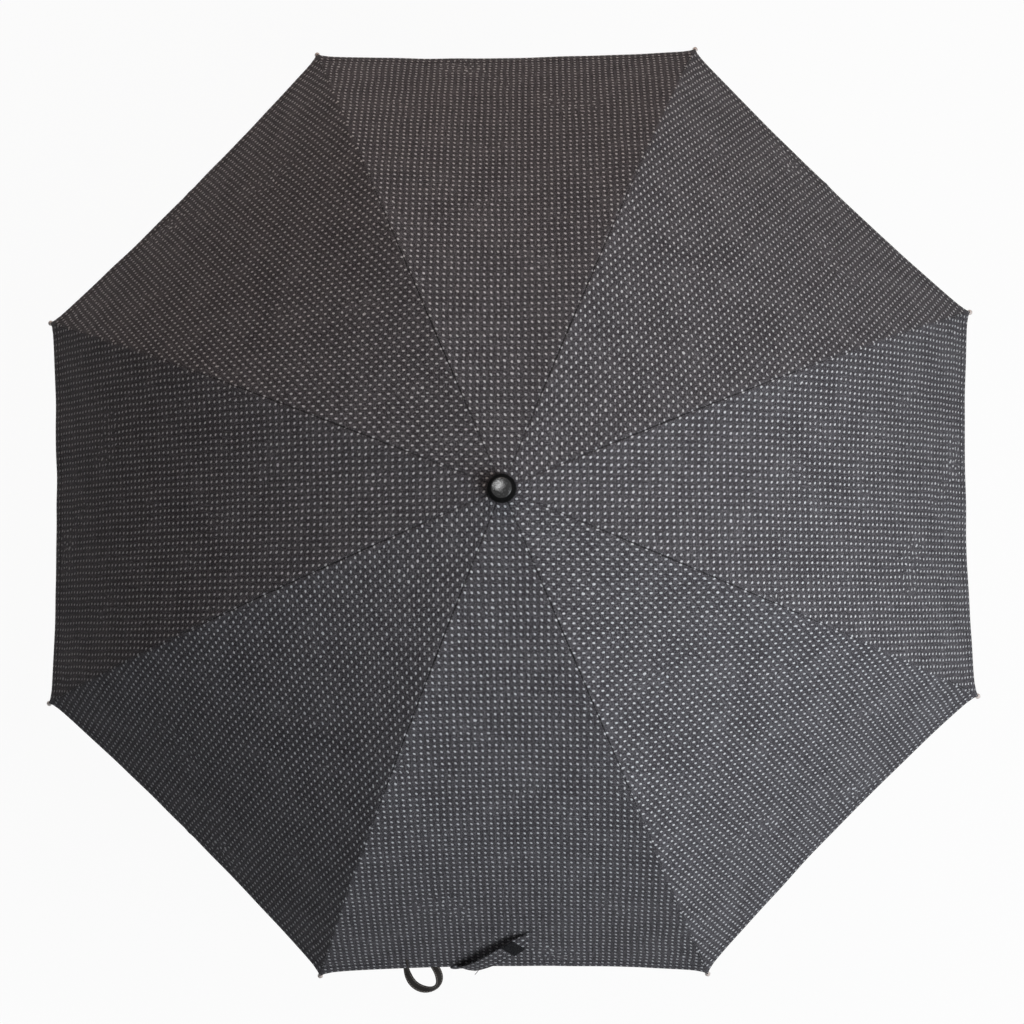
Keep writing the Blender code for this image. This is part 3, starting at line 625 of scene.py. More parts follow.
def cap_finish(name, colour):
    """Polished black plastic, duller on its shoulder, with smears and a little dust."""
    finish = Finish(name, roughness=0.1, specular=CAP_DOME_SHINE)
    place = finish.place()
    dust = finish.noise(place, 1400.0, 4.0)
    smear = finish.noise(place, 420.0, 3.0)
    speck = finish.step(dust, 0.62, 0.74, 0.0, 0.25)
    finish.set("Base Color", finish.mix(speck, colour, (0.09, 0.09, 0.09)))
    level = finish.vector("MULTIPLY", place, (1.0, 1.0, 0.0))
    edge = CAP_RADIUS * CAP_DOME_SHARE
    shoulder = finish.step(finish.vector("LENGTH", level), edge, edge + 2 * CAP_FILLET_WIDTH)
    shine = finish.math("MULTIPLY_ADD", shoulder, CAP_SHOULDER_SHINE - CAP_DOME_SHINE, CAP_DOME_SHINE)
    finish.set("Specular IOR Level", shine)
    rough = finish.step(smear, 0.35, 0.65, 0.07, 0.30)
    finish.set("Roughness", finish.math("MULTIPLY_ADD", shoulder, CAP_SHOULDER_ROUGHER, rough))
    finish.bump(finish.noise(place, 900.0, 2.0), 0.00016)
    return finish.material


def hook_finish(name, colour):
    """Hook tape: rows of tiny hooks."""
    finish = Finish(name, roughness=0.85, specular=0.08)
    cloth = finish.uv("Cloth")
    hooks = finish.node("ShaderNodeTexVoronoi")
    finish.put(hooks.inputs["Vector"], cloth)
    hooks.inputs["Scale"].default_value = 1100.0
    height = hooks.outputs["Distance"]
    pale = [channel * 3 + 0.01 for channel in colour]
    finish.set("Base Color", finish.mix(finish.step(height, 0.1, 0.6), pale, colour))
    finish.bump(height, 0.0005)
    return finish.material


RIBBON_RIB_PITCH = 0.0009
RIBBON_ROW_SHARE = 0.36
RIBBON_ROW_FROM = 0.00025
RIBBON_ROW_TO = 0.0006
RIBBON_STITCH_PITCH = 0.0024
RIBBON_STITCH_PALER = 5.5
RIBBON_RIB_HEIGHT = 0.00012
RIBBON_STITCH_HEIGHT = 0.0002


def ribbon_finish(name, values):
    """Grosgrain ribbon: ribs across it and a pale row of stitches near each edge."""
    finish = Finish(name, roughness=0.6, sheen=0.02, specular=0.12)
    cloth = finish.uv("Cloth")
    side, along = finish.split(cloth)
    ribs = finish.wave(cloth, RIBBON_RIB_PITCH, "Y")
    row = finish.math("ABSOLUTE", side)
    row = finish.math("SUBTRACT", row, LOOP_RIBBON_WIDTH * RIBBON_ROW_SHARE)
    row = finish.step(finish.math("ABSOLUTE", row), RIBBON_ROW_FROM, RIBBON_ROW_TO, 1.0, 0.0)
    dash = finish.math("FRACT", finish.math("DIVIDE", along, RIBBON_STITCH_PITCH))
    dash = finish.step(dash, 0.6, 0.7, 1.0, 0.1)
    stitched = finish.math("MULTIPLY", row, dash)
    base = finish.mix(finish.math("MULTIPLY", ribs, 0.5), values.ribbon, values.ribbon_edge)
    stitch = [channel * RIBBON_STITCH_PALER for channel in values.ribbon_edge]
    finish.set("Base Color", finish.mix(stitched, base, stitch))
    relief = finish.bump(ribs, RIBBON_RIB_HEIGHT)
    finish.bump(stitched, RIBBON_STITCH_HEIGHT, relief)
    return finish.material


def thread_finish(name):
    """Twisted sewing thread."""
    finish = Finish(name, roughness=0.7, sheen=0.3)
    place = finish.place()
    twist = finish.wave(place, 0.0006, "DIAGONAL")
    finish.set("Base Color", finish.mix(twist, (0.012, 0.011, 0.011), (0.05, 0.046, 0.044)))
    finish.bump(twist, 0.00008)
    return finish.material


# Building pieces


def smooth_mesh(mesh):
    """Smooth shading that keeps the sharp edges."""
    mesh.shade_smooth()
    mesh.set_sharp_from_angle(angle=math.radians(SHARP_DEG))
    return mesh


def new_piece(name, mesh, finishes):
    """An object of this mesh at the origin, with its materials."""
    for finish in finishes:
        mesh.materials.append(finish)
    made = bpy.data.objects.new(name, smooth_mesh(mesh))
    bpy.context.scene.collection.objects.link(made)
    return made


def mesh_of(shape, name):
    """The mesh of a finished bmesh, welded and facing outward."""
    bmesh.ops.remove_doubles(shape, verts=shape.verts, dist=WELD)
    bmesh.ops.recalc_face_normals(shape, faces=shape.faces)
    mesh = bpy.data.meshes.new(name)
    shape.to_mesh(mesh)
    shape.free()
    return mesh


def turned(shape, outline, steps=TURN_STEPS, move=None):
    """A profile of (radius, height) points turned round Z, added to the bmesh."""
    points = [shape.verts.new((radius, 0, height)) for radius, height in outline]
    edges = [shape.edges.new(pair) for pair in zip(points, points[1:])]
    before = set(shape.verts) - set(points)
    bmesh.ops.spin(
        shape, geom=points + edges, cent=(0, 0, 0), axis=(0, 0, 1),
        angle=math.tau, steps=steps, use_merge=True)
    added = [vertex for vertex in shape.verts if vertex not in before]
    if move:
        bmesh.ops.transform(shape, matrix=move, verts=added)
    return added


def baked(source):
    """The evaluated mesh of an object, which is then removed."""
    bpy.context.scene.collection.objects.link(source)
    bpy.context.view_layer.update()
    evaluated = source.evaluated_get(bpy.context.evaluated_depsgraph_get())
    mesh = bpy.data.meshes.new_from_object(evaluated)
    bpy.data.objects.remove(source)
    return mesh


def swept(shape, path, radius, resolution=5, closed=False):
    """A round rod through these points, added to the bmesh."""
    curve = bpy.data.curves.new("rod", "CURVE")
    curve.dimensions = "3D"
    curve.bevel_depth = radius
    curve.bevel_resolution = resolution
    curve.use_fill_caps = not closed
    spline = curve.splines.new("POLY")
    spline.use_cyclic_u = closed
    spline.points.add(len(path) - 1)
    for point, place in zip(spline.points, path):
        point.co = (*place, 1.0)
    rod = baked(bpy.data.objects.new("rod", curve))
    shape.from_mesh(rod)
    bpy.data.meshes.remove(rod)


def thickened(shape, name, thickness, lined=True):
    """The mesh of an open sheet given its thickness, inward. A lined one has a second material inside."""
    sheet = bpy.data.meshes.new(name)
    shape.to_mesh(sheet)
    shape.free()
    holder = bpy.data.objects.new(name, sheet)
    solidify = holder.modifiers.new("Solidify", "SOLIDIFY")
    solidify.thickness = thickness
    solidify.offset = -1.0
    solidify.material_offset = 1 if lined else 0
    for _ in range(2):
        sheet.materials.append(None)
    mesh = baked(holder)
    mesh.materials.clear()
    return mesh


def sheet_shape(rows, columns, place):
    """An open grid whose points, cloth places and edge distances come from place(row, column)."""
    shape = bmesh.new()
    cloth_layer = shape.loops.layers.uv.new("Cloth")
    edge_layer = shape.loops.layers.uv.new("Edges")
    bmesh.ops.create_grid(shape, x_segments=rows, y_segments=columns, size=0.5)
    facts = {}
    for vertex in shape.verts:
        row = round((vertex.co.x + 0.5) * rows)
        column = round((vertex.co.y + 0.5) * columns)
        vertex.co, cloth, edges = place(row, column)
        facts[vertex] = (cloth, edges)
    for face in shape.faces:
        for loop in face.loops:
            loop[cloth_layer].uv, loop[edge_layer].uv = facts[loop.vert]
    shape.normal_update()
    if sum(face.normal.z * face.calc_area() for face in shape.faces) < 0:
        bmesh.ops.reverse_faces(shape, faces=shape.faces)
    return shape


# Canopy


def arc_table():
    """Distances out along a gore's middle, and how much cloth lies between the apex and each."""
    reach = CORNER_RADIUS * math.cos(GORE_HALF_ANGLE)
    step = reach / ARC_SAMPLES
    total = 0.0
    lengths = [0.0]
    for sample in range(ARC_SAMPLES):
        total += step / math.cos(gore_slope_angle((sample + 0.5) * step))
        lengths.append(total)
    return step, lengths


ARC_STEP, ARC_LENGTHS = arc_table()


def cloth_length(middle):
    """How much cloth lies between the apex and this distance out along a gore's middle."""
    index = min(int(middle / ARC_STEP), ARC_SAMPLES - 1)
    share = middle / ARC_STEP - index
    return ARC_LENGTHS[index] * (1 - share) + ARC_LENGTHS[index + 1] * share


def gore_of(number, hand):
    """The gore that the half on this side of a rib belongs to."""
    return number if hand < 0 else (number - 2) % RIB_COUNT + 1


def gore_lift(gore, number, across, edge, to_hem, share, dip_share):
    """How far the cloth stands off its even surface."""
    side = across / edge
    to_seam = edge - abs(across)
    dip = dip_share * edge * (1 - side**2) * math.sin(math.pi * share**DIP_SKEW)
    groove = SEAM_GROOVE_DEPTH * math.exp(-((to_seam / SEAM_GROOVE_WIDTH) ** 2))
    fold = HEM_FOLD_STEP if to_hem < HEM_FOLD_WIDTH else 0.0
    along = CORNER_RADIUS * share
    phase = math.sin(number * PUCKER_SEED) + math.sin(along * PUCKER_WANDER + number)
    pucker = PUCKER_HEIGHT * share**2 * math.exp(-to_seam / PUCKER_REACH)
    pucker *= math.sin(math.tau * along / PUCKER_PITCH + phase)
    spot = Vector((across * RIPPLE_ACROSS, along * RIPPLE_ALONG, gore * GORE_SEED))
    outward = RIPPLE_NEAR_APEX + (1 - RIPPLE_NEAR_APEX) * share
    ripple = RIPPLE_HEIGHT * noise.noise(spot) * (1 - side**4) * outward
    crease = CREASE_HEIGHTS.get(gore, 0.0) * math.exp(-((across / CREASE_WIDTH) ** 2))
    crease *= max(0.0, share - CREASE_START_SHARE) / (1 - CREASE_START_SHARE)
    return fold + pucker + ripple + crease - dip - groove


def cloth_stations():
    """Radii of the grid's rows, close together at the hem's fold."""
    first = CORNER_RADIUS - HEM_STATIONS[0]
    span = first - CANOPY_HOLE_RADIUS
    even = [CANOPY_HOLE_RADIUS + span * row / CLOTH_ROWS for row in range(CLOTH_ROWS)]
    return even + [CORNER_RADIUS - station for station in HEM_STATIONS]


def half_gore_piece(number, side, values, finishes):
    """The cloth from one rib's seam to the gore's middle, riding its folding half."""
    hand = HANDS[side]
    gore = gore_of(number, hand)
    stations = cloth_stations()
    columns = CLOTH_COLUMNS + len(SEAM_STATIONS) - 1
    corner = CORNER_RADIUS * math.sin(GORE_HALF_ANGLE)
    turn = rib_turn(number) @ Matrix.Rotation(hand * GORE_HALF_ANGLE, 4, "Z")

    def place(row, column):
        radius = stations[row]
        share = radius / CORNER_RADIUS
        edge = radius * math.sin(GORE_HALF_ANGLE)
        if column < CLOTH_COLUMNS:
            across = edge * column / (CLOTH_COLUMNS + 1)
        else:
            station = column - CLOTH_COLUMNS
            near = edge * (CLOTH_COLUMNS + station / (len(SEAM_STATIONS) - 1)) / (CLOTH_COLUMNS + 1)
            across = max(edge - SEAM_STATIONS[station], near)
        flat = radius * math.cos(GORE_HALF_ANGLE)
        drawn = flat * hem_middle(across / share) / (CORNER_RADIUS * math.cos(GORE_HALF_ANGLE))
        middle = flat + (drawn - flat) * share**2
        to_hem = CORNER_RADIUS - radius
        from_corner = math.hypot(corner - across, to_hem)
        pull = CORNER_PULL * math.exp(-from_corner / CORNER_PULL_REACH)
        middle += pull * math.cos(GORE_HALF_ANGLE)
        signed = hand * across
        lift = gore_lift(gore, number, signed, edge, to_hem, share, values.dip_share)
        aside = hand * pull * math.sin(GORE_HALF_ANGLE) * (1 - CORNER_GAP_SHARE)
        point = turn @ gore_point(middle, -signed - aside, lift)
        return point, (signed, cloth_length(flat)), (to_hem, edge - across)

    shape = sheet_shape(len(stations) - 1, columns, place)
    area = sum(face.calc_area() for face in shape.faces)
    mesh = thickened(shape, "half_gore", CLOTH_THICKNESS)
    made = new_piece(f"canopy_{number}_{side}", mesh, finishes)
    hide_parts(f"half_gore_{number}_{side}")
    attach(made, f"gore_{number}_{side}")
    fold_with_rib(made)
    return made


def fold_with_rib(piece):
    """The piece gets its own copy of its mesh."""
    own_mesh(piece)


class UMBRELLA_OT_canopy(bpy.types.Operator):
    """Stretch the sixteen half gores over the ribs"""

    bl_idname = "umbrella.canopy"
    bl_label = "Canopy"

    def execute(self, context):
        values = context.scene.umbrella_canopy
        outside = cloth_finish("dotted_cloth", values)
        inside = cloth_finish("cloth_inside", values, inside=True)
        for number in SPOKES:
            for side in HANDS:
                half_gore_piece(number, side, values, (outside, inside))
        return {"FINISHED"}


# Tie strap and hem loop


STRAP_ROWS = 70
STRAP_COLUMNS = 12
STRAP_UPPER_SHARE = 0.90
STRAP_CURL_POWER = 1.2
STRAP_HUMP_POWER = 0.6
STRAP_CLIMB_UPPER = 0.72
STRAP_CLIMB_LOWER = 1.05
STRAP_ROOT_SKEW = 1.9
STRAP_STITCH_SHIFT = 0.0048
STRAP_CLOTH_SHIFT = 0.0021
PATCH_SHEET_THICKNESS = 0.0011
PATCH_ROWS = 24
PATCH_COLUMNS = 18
PATCH_FUZZ = 0.00018
PATCH_FUZZ_SCALE = 1500.0
THREAD_RADIUS = 0.00030
THREAD_ROOT = (-0.0325, -0.0020, 0.0012)
THREAD_BENDS = (
    (0, 0, 0), (-0.0006, -0.0030, 0.0008), (-0.0022, -0.0058, 0.0016), (-0.0042, -0.0072, 0.0030))


def strap_place(along, side):
    """Across and up for a place on the tie strap: along from its root, side from its middle."""
    rise = math.radians(STRAP_RISE_DEG)
    across = STRAP_ROOT_ACROSS + along * math.cos(rise) - side * math.sin(rise)
    up = along * math.sin(rise) + side * math.cos(rise)
    return across, up


def strap_lift(along, side, rise):
    """The strap bridges the gore from its root to its point, its lower edge well clear of it."""
    share = min(1.0, max(0.0, along / STRAP_LENGTH))
    over = side / STRAP_WIDTH + 0.5
    climb = STRAP_CLIMB_UPPER + (STRAP_CLIMB_LOWER - STRAP_CLIMB_UPPER) * (1 - over)
    hump = math.sin(math.pi * share**climb) ** STRAP_HUMP_POWER if 0 < share < 1 else 0.0
    curl = STRAP_UPPER_SHARE + (1 - STRAP_UPPER_SHARE) * (1 - over) ** STRAP_CURL_POWER
    return 2 * RUNNING_GAP + STRAP_THICKNESS + rise * hump * curl


class UMBRELLA_OT_tie_strap(bpy.types.Operator):
    """Lay the tie strap with its hook patch over the front gore"""

    bl_idname = "umbrella.tie_strap"
    bl_label = "Tie Strap"

    def execute(self, context):
        values = context.scene.umbrella_trim
        cloth = bpy.data.materials["dotted_cloth"]
        rise = math.radians(STRAP_RISE_DEG)

        def strap(row, column):
            side = STRAP_WIDTH * (column / STRAP_COLUMNS - 0.5)
            bulge = math.sin(math.pi * (column / STRAP_COLUMNS) ** STRAP_ROOT_SKEW)
            root = -side / math.tan(rise) - STRAP_PAST_HEM * bulge
            end = STRAP_LENGTH - abs(side) * STRAP_POINT_LENGTH / (STRAP_WIDTH / 2)
            along = root + (end - root) * row / STRAP_ROWS
            lift = strap_lift(along, side, values.strap_rise)
            to_edge = STRAP_WIDTH / 2 - abs(side)
            point = on_front_gore(*strap_place(along, side), lift)
            return point, (side + STRAP_CLOTH_SHIFT, along), (to_edge + STRAP_STITCH_SHIFT, 1.0)

        shape = sheet_shape(STRAP_ROWS, STRAP_COLUMNS, strap)
        area = sum(face.calc_area() for face in shape.faces)
        mesh = thickened(shape, "strap", STRAP_THICKNESS)
        made = new_piece("tie_strap_cloth", mesh, (cloth, bpy.data.materials["cloth_inside"]))
        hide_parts("tie_strap")
        ride_front(made)
        self.patch(values)
        self.loose_thread()
        return {"FINISHED"}

    def patch(self, values):
        """The fuzzy hook patch on the strap's outer face."""
        top = PATCH_SHEET_THICKNESS + RUNNING_GAP

        def spot(row, column):
            side = (STRAP_WIDTH - 2 * RUNNING_GAP) * (column / PATCH_COLUMNS - 0.5)
            along = STRAP_LENGTH - PATCH_FROM_POINT - PATCH_LENGTH * (1 - row / PATCH_ROWS)
            fuzz = PATCH_FUZZ * noise.noise(Vector((side, along, 0)) * PATCH_FUZZ_SCALE)
            lift = strap_lift(along, side, values.strap_rise) + top + fuzz
            return on_front_gore(*strap_place(along, side), lift), (side, along), (1.0, 1.0)

        mesh = thickened(sheet_shape(PATCH_ROWS, PATCH_COLUMNS, spot), "patch", PATCH_SHEET_THICKNESS,
                         lined=False)
        made = new_piece("hook_patch", mesh, (hook_finish("hook_tape", values.hook),))
        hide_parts("strap_patch")
        ride_front(made)

    def loose_thread(self):
        """The end of the sewing thread at the strap's root."""
        across, up, lift = THREAD_ROOT
        path = [on_front_gore(across + x, up + y, lift + z) for x, y, z in THREAD_BENDS]
        shape = bmesh.new()
        swept(shape, path, THREAD_RADIUS, resolution=2)
        finish = thread_finish("dark_thread")
        made = new_piece("loose_thread", mesh_of(shape, "thread"), (finish,))
        ride_front(made)


def ride_front(piece):
    """The piece goes with the left half of the front gore and gets its own copy of its mesh."""
    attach(piece, f"gore_{FRONT_RIB}_left")
    fold_with_rib(piece)


LOOP_STEPS = 64
LOOP_TUCK_STEPS = 6
LOOP_SIDES = 8
LOOP_TWIST_DEG = 54.0
LOOP_TURNS = 1.6


def loop_point(across, out):
    """A point on the loop, and its normal: it leaves the hem along the gore and levels out."""
    depth = -(CLOTH_THICKNESS + RUNNING_GAP + LOOP_THICKNESS)
    base = on_front_gore(across, 0, depth)
    hem = gore_slope_angle(hem_middle(across))
    if out < 0:
        return on_front_gore(across, -out / math.cos(hem), depth), hem
    level = math.exp(-out / LOOP_DROP)
    drop = math.tan(hem) * LOOP_DROP * (1 - level)
    return base + Vector((0, -out, -drop)), math.atan(math.tan(hem) * level)


def loop_path():
    """The ribbon's centre line, from behind the hem, round and back, with its slopes."""
    tucked = [LOOP_TUCK * (1 - step / LOOP_TUCK_STEPS) for step in range(LOOP_TUCK_STEPS)]
    path = [(-LOOP_HALF_WIDTH, -back) for back in tucked]
    for step in range(LOOP_STEPS + 1):
        angle = math.pi * step / LOOP_STEPS
        across = LOOP_SKEW * math.sin(angle) - LOOP_HALF_WIDTH * math.cos(angle)
        across -= LOOP_FULLNESS * math.sin(2 * angle)
        path.append((across, LOOP_REACH * math.sin(angle)))
    path += [(LOOP_HALF_WIDTH, -back) for back in reversed(tucked)]
    return [loop_point(LOOP_CENTRE_ACROSS + across, out) for across, out in path]


class UMBRELLA_OT_hem_loop(bpy.types.Operator):
    """Sew the ribbon loop behind the front gore's hem"""

    bl_idname = "umbrella.hem_loop"
    bl_label = "Hem Loop"

    def execute(self, context):
        path, slopes = zip(*loop_path())
        values = context.scene.umbrella_trim
        finish = ribbon_finish("ribbon_brown", values)
        half = LOOP_RIBBON_WIDTH / 2
        last = len(path) - 1
        runs = [0.0]
        for start, end in zip(path, path[1:]):
            runs.append(runs[-1] + (end - start).length)

        def ribbon(row, column):
            way = (path[min(last, row + 1)] - path[max(0, row - 1)]).normalized()
            slope = slopes[row]
            normal = Vector((0, -math.sin(slope), math.cos(slope)))
            twist = math.radians(LOOP_TWIST_DEG) * math.cos(math.pi * LOOP_TURNS * row / last) ** 2
            wide = Matrix.Rotation(twist, 3, way) @ way.cross(normal).normalized()
            side = LOOP_RIBBON_WIDTH * (column / LOOP_SIDES - 0.5)
            return path[row] + wide * side, (side, runs[row]), (half - abs(side), 1.0)

        shape = sheet_shape(last, LOOP_SIDES, ribbon)
        mesh = thickened(shape, "loop", LOOP_THICKNESS, lined=False)
        made = new_piece("ribbon_loop", mesh, (finish,))
        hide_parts("hem_loop")
        ride_front(made)
        return {"FINISHED"}


# Top cap


class UMBRELLA_OT_top_cap(bpy.types.Operator):
    """Turn the glossy domed cap"""

    bl_idname = "umbrella.top_cap"
    bl_label = "Top Cap"

    def execute(self, context):
        steps = CAP_CURVE_STEPS
        dome = math.radians(CAP_DOME_EDGE_DEG)
        shoulder = math.radians(CAP_SHOULDER_DEG)
        reach = CAP_RADIUS * CAP_DOME_SHARE
        ball = reach / math.sin(dome)
        top = APEX_Z + CAP_HEIGHT
        outline = []
        for step in range(steps + 1):
            angle = dome * step / steps
            outline.append((ball * math.sin(angle), top - ball * (1 - math.cos(angle))))
        fillet = CAP_FILLET_WIDTH / CAP_FILLET_STEPS
        for step in range(1, CAP_FILLET_STEPS + 1):
            angle = dome + (shoulder - dome) * step / (CAP_FILLET_STEPS + 1)
            reach += fillet
            outline.append((reach, outline[-1][1] - fillet * math.tan(angle)))
        edge = outline[-1][1]
        for step in range(1, steps + 1):
            angle = shoulder + (math.pi / 2 - shoulder) * step / steps
            out = (math.sin(angle) - math.sin(shoulder)) / (1 - math.sin(shoulder))
            down = (math.cos(shoulder) - math.cos(angle)) / math.cos(shoulder)
            height = edge + (APEX_Z - edge) * down
            outline.append((reach + (CAP_RADIUS - reach) * out, height))
        bottom = APEX_Z - CAP_BELOW_APEX
        outline += [
            (CAP_RADIUS, bottom + CAP_RIM), (CAP_RADIUS - CAP_RIM, bottom),
            (CAP_STEM_RADIUS, bottom), (CAP_STEM_RADIUS, bottom - CAP_STEM_LENGTH),
            (0, bottom - CAP_STEM_LENGTH),
        ]
        outline[0] = (0, outline[0][1])
        shape = bmesh.new()
        turned(shape, outline)
        values = context.scene.umbrella_framework
        finish = cap_finish("polished_black", values.gloss)
        made = new_piece("domed_cap", mesh_of(shape, "cap"), (finish,))
        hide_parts("top_cap")
        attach(made, "frame")
        return {"FINISHED"}


# Ribs


def along_rib(first, last, steps=24, depth=RIB_DEPTH):
    """Points along a rib between two radii, in the rib's own frame."""
    return [rib_point(first + (last - first) * step / steps, depth) for step in range(steps + 1)]


def to_azimuth(mesh, number):
    """A copy of a mesh, turned from the rib's own frame to its azimuth."""
    turned_mesh = mesh.copy()
    turned_mesh.transform(rib_turn(number))
    return turned_mesh


TIP_NOSE_STEPS = 10
TIP_NOSE_DEG = 120.0
TIP_PROFILE_SHARES = ((0.80, 0.72), (0.80, 0.52), (1.0, 0.46), (1.0, 0.06), (0.93, 0.0))


class UMBRELLA_OT_rib_tips(bpy.types.Operator):
    """Turn the eight rib tips with their collars and rounded noses"""

    bl_idname = "umbrella.rib_tips"
    bl_label = "Rib Tips"

    def execute(self, context):
        bore = ROD_RADIUS + RUNNING_GAP
        length = TIP_SLEEVE_LENGTH
        outline = []
        for step in range(TIP_NOSE_STEPS + 1):
            angle = math.radians(90 - TIP_NOSE_DEG * step / TIP_NOSE_STEPS)
            across = max(0.0, TIP_BALL_RADIUS * math.cos(angle))
            outline.append((across, length + TIP_BALL_RADIUS * math.sin(angle)))
        outline += [(TIP_SLEEVE_RADIUS * wide, length * high) for wide, high in TIP_PROFILE_SHARES]
        outline += [(bore, 0), (bore, TIP_BORE_DEPTH), (0, TIP_BORE_DEPTH)]
        outline[0] = (0, outline[0][1])
        way = rib_direction(CORNER_RADIUS)
        base = TIP_POINT - way * TIP_BEFORE_CORNER
        turn = Vector((0, 0, 1)).rotation_difference(way).to_matrix()
        move = Matrix.Translation(base) @ turn.to_4x4()
        shape = bmesh.new()
        turned(shape, outline, steps=FINE_TURN_STEPS, move=move)
        mesh = mesh_of(shape, "tip")
        values = context.scene.umbrella_framework
        finish = plastic_finish("pale_tip", values.tip, 0.34, 700.0, 0.00003, coat=0.2, wear=0.3)
        for number in SPOKES:
            made = new_piece(f"tip_{number}", to_azimuth(mesh, number), (finish,))
            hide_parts(f"rib_tip_{number}")
            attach(made, f"rib_{number}_outer")
        return {"FINISHED"}


class UMBRELLA_OT_outer_rods(bpy.types.Operator):
    """Bend the eight springy outer rods"""

    bl_idname = "umbrella.outer_rods"
    bl_label = "Outer Rods"

    def execute(self, context):
        start = JOINT_RADIUS + ROD_RADIUS * ROD_START_SHARE
        path = along_rib(start, CORNER_RADIUS, steps=40)
        end = TIP_BORE_DEPTH - TIP_BEFORE_CORNER - RUNNING_GAP
        path.append(TIP_POINT + rib_direction(CORNER_RADIUS) * end)
        shape = bmesh.new()
        swept(shape, path, ROD_RADIUS)
        mesh = mesh_of(shape, "rod")
        values = context.scene.umbrella_framework
        finish = rod_finish("glass_fibre", values.rod)
        for number in SPOKES:
            made = new_piece(f"rod_{number}", to_azimuth(mesh, number), (finish,))
            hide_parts(f"rib_outer_{number}")
            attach(made, f"rib_{number}_outer")
            fold_with_rib(made)
        return {"FINISHED"}


TIE_TURNS = 5
TIE_THREAD = 0.00022
TIE_PITCH = 0.000462
TIE_REACH_UP = 0.0008
TIE_STEPS = 20
INNER_TIE_RADII = (0.085, 0.165, 0.215)
OUTER_TIE_RADII = (0.300, 0.360, 0.420, 0.462)
FERRULE_LENGTH = 0.0145
FERRULE_PAST_JOINT = 0.0026
FERRULE_BEVEL = 0.0003
FERRULE_OUTER_RADIUS = RIB_RADIUS + 0.0005
FERRULE_INNER_RADIUS = RIB_RADIUS + 0.00015
FERRULE_CRIMPS = (-0.0072, -0.0024)
FERRULE_CRIMP_WIDTH = 0.0012


def wrap_shape(shape, radius, rod_radius):
    """Turns of thread round the rib or rod at this radius, added to the bmesh."""
    way = rib_direction(radius)
    up = Vector((-way.z, 0, way.x))
    for turn in range(TIE_TURNS):
        centre = rib_point(radius) + way * (turn - (TIE_TURNS - 1) / 2) * TIE_PITCH
        ring = []
        for step in range(TIE_STEPS):
            angle = math.tau * step / TIE_STEPS
            reach = rod_radius + TIE_THREAD + TIE_REACH_UP * max(0.0, math.cos(angle)) ** 3
            aside = Vector((0, reach * math.sin(angle), 0))
            ring.append(centre + up * reach * math.cos(angle) + aside)
        swept(shape, ring, TIE_THREAD, resolution=1, closed=True)


class UMBRELLA_OT_rib_joints(bpy.types.Operator):
    """Crimp the ferrules over the ribs' joints and sew the cloth to the ribs"""

    bl_idname = "umbrella.rib_joints"
    bl_label = "Rib Joints and Ties"

    def execute(self, context):
        values = context.scene.umbrella_framework
        steel = steel_finish("plated_steel", values)
        thread = thread_finish("rib_thread")
        ferrule = self.ferrule()
        inner_ties = bmesh.new()
        for radius in INNER_TIE_RADII:
            wrap_shape(inner_ties, radius, RIB_RADIUS)
        outer_ties = bmesh.new()
        for radius in OUTER_TIE_RADII:
            wrap_shape(outer_ties, radius, ROD_RADIUS)
        inner_ties = mesh_of(inner_ties, "ties")
        outer_ties = mesh_of(outer_ties, "ties")
        for number in SPOKES:
            made = new_piece(f"ferrule_{number}", to_azimuth(ferrule, number), (steel,))
            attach(made, f"rib_{number}")
            made = new_piece(f"rib_ties_{number}", to_azimuth(inner_ties, number), (thread,))
            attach(made, f"rib_{number}")
            made = new_piece(f"rod_ties_{number}", to_azimuth(outer_ties, number), (thread,))
            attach(made, f"rib_{number}_outer")
            fold_with_rib(made)
        return {"FINISHED"}

    def ferrule(self):
        """The mesh of a crimped ferrule, in the rib's own frame."""
        outer, inner = FERRULE_OUTER_RADIUS, FERRULE_INNER_RADIUS
        low, high = outer - FERRULE_BEVEL, FERRULE_PAST_JOINT
        half = FERRULE_CRIMP_WIDTH / 2
        outline = [(inner, -FERRULE_LENGTH), (low, -FERRULE_LENGTH),
                   (outer, FERRULE_BEVEL - FERRULE_LENGTH)]
        for crimp in FERRULE_CRIMPS:
            outline += [(outer, crimp - half), (low, crimp), (outer, crimp + half)]
        outline += [(outer, high - FERRULE_BEVEL), (low, high), (inner, high), outline[0]]
        angle = math.atan(canopy_slope(JOINT_RADIUS))
        move = Matrix.Translation(RIB_JOINT) @ Matrix.Rotation(math.pi / 2 + angle, 4, "Y")
        shape = bmesh.new()
        turned(shape, outline, steps=FINE_TURN_STEPS, move=move)
        return mesh_of(shape, "ferrule")


TAPE_START_RADIUS = 0.0160
TAPE_BEFORE_JOINT = 0.0165
TAPE_LIFT = 0.00012
TAPE_THICKNESS = 0.0003
TAPE_WRAP_DEG = 200.0
TAPE_ROWS = 60
TAPE_COLUMNS = 10


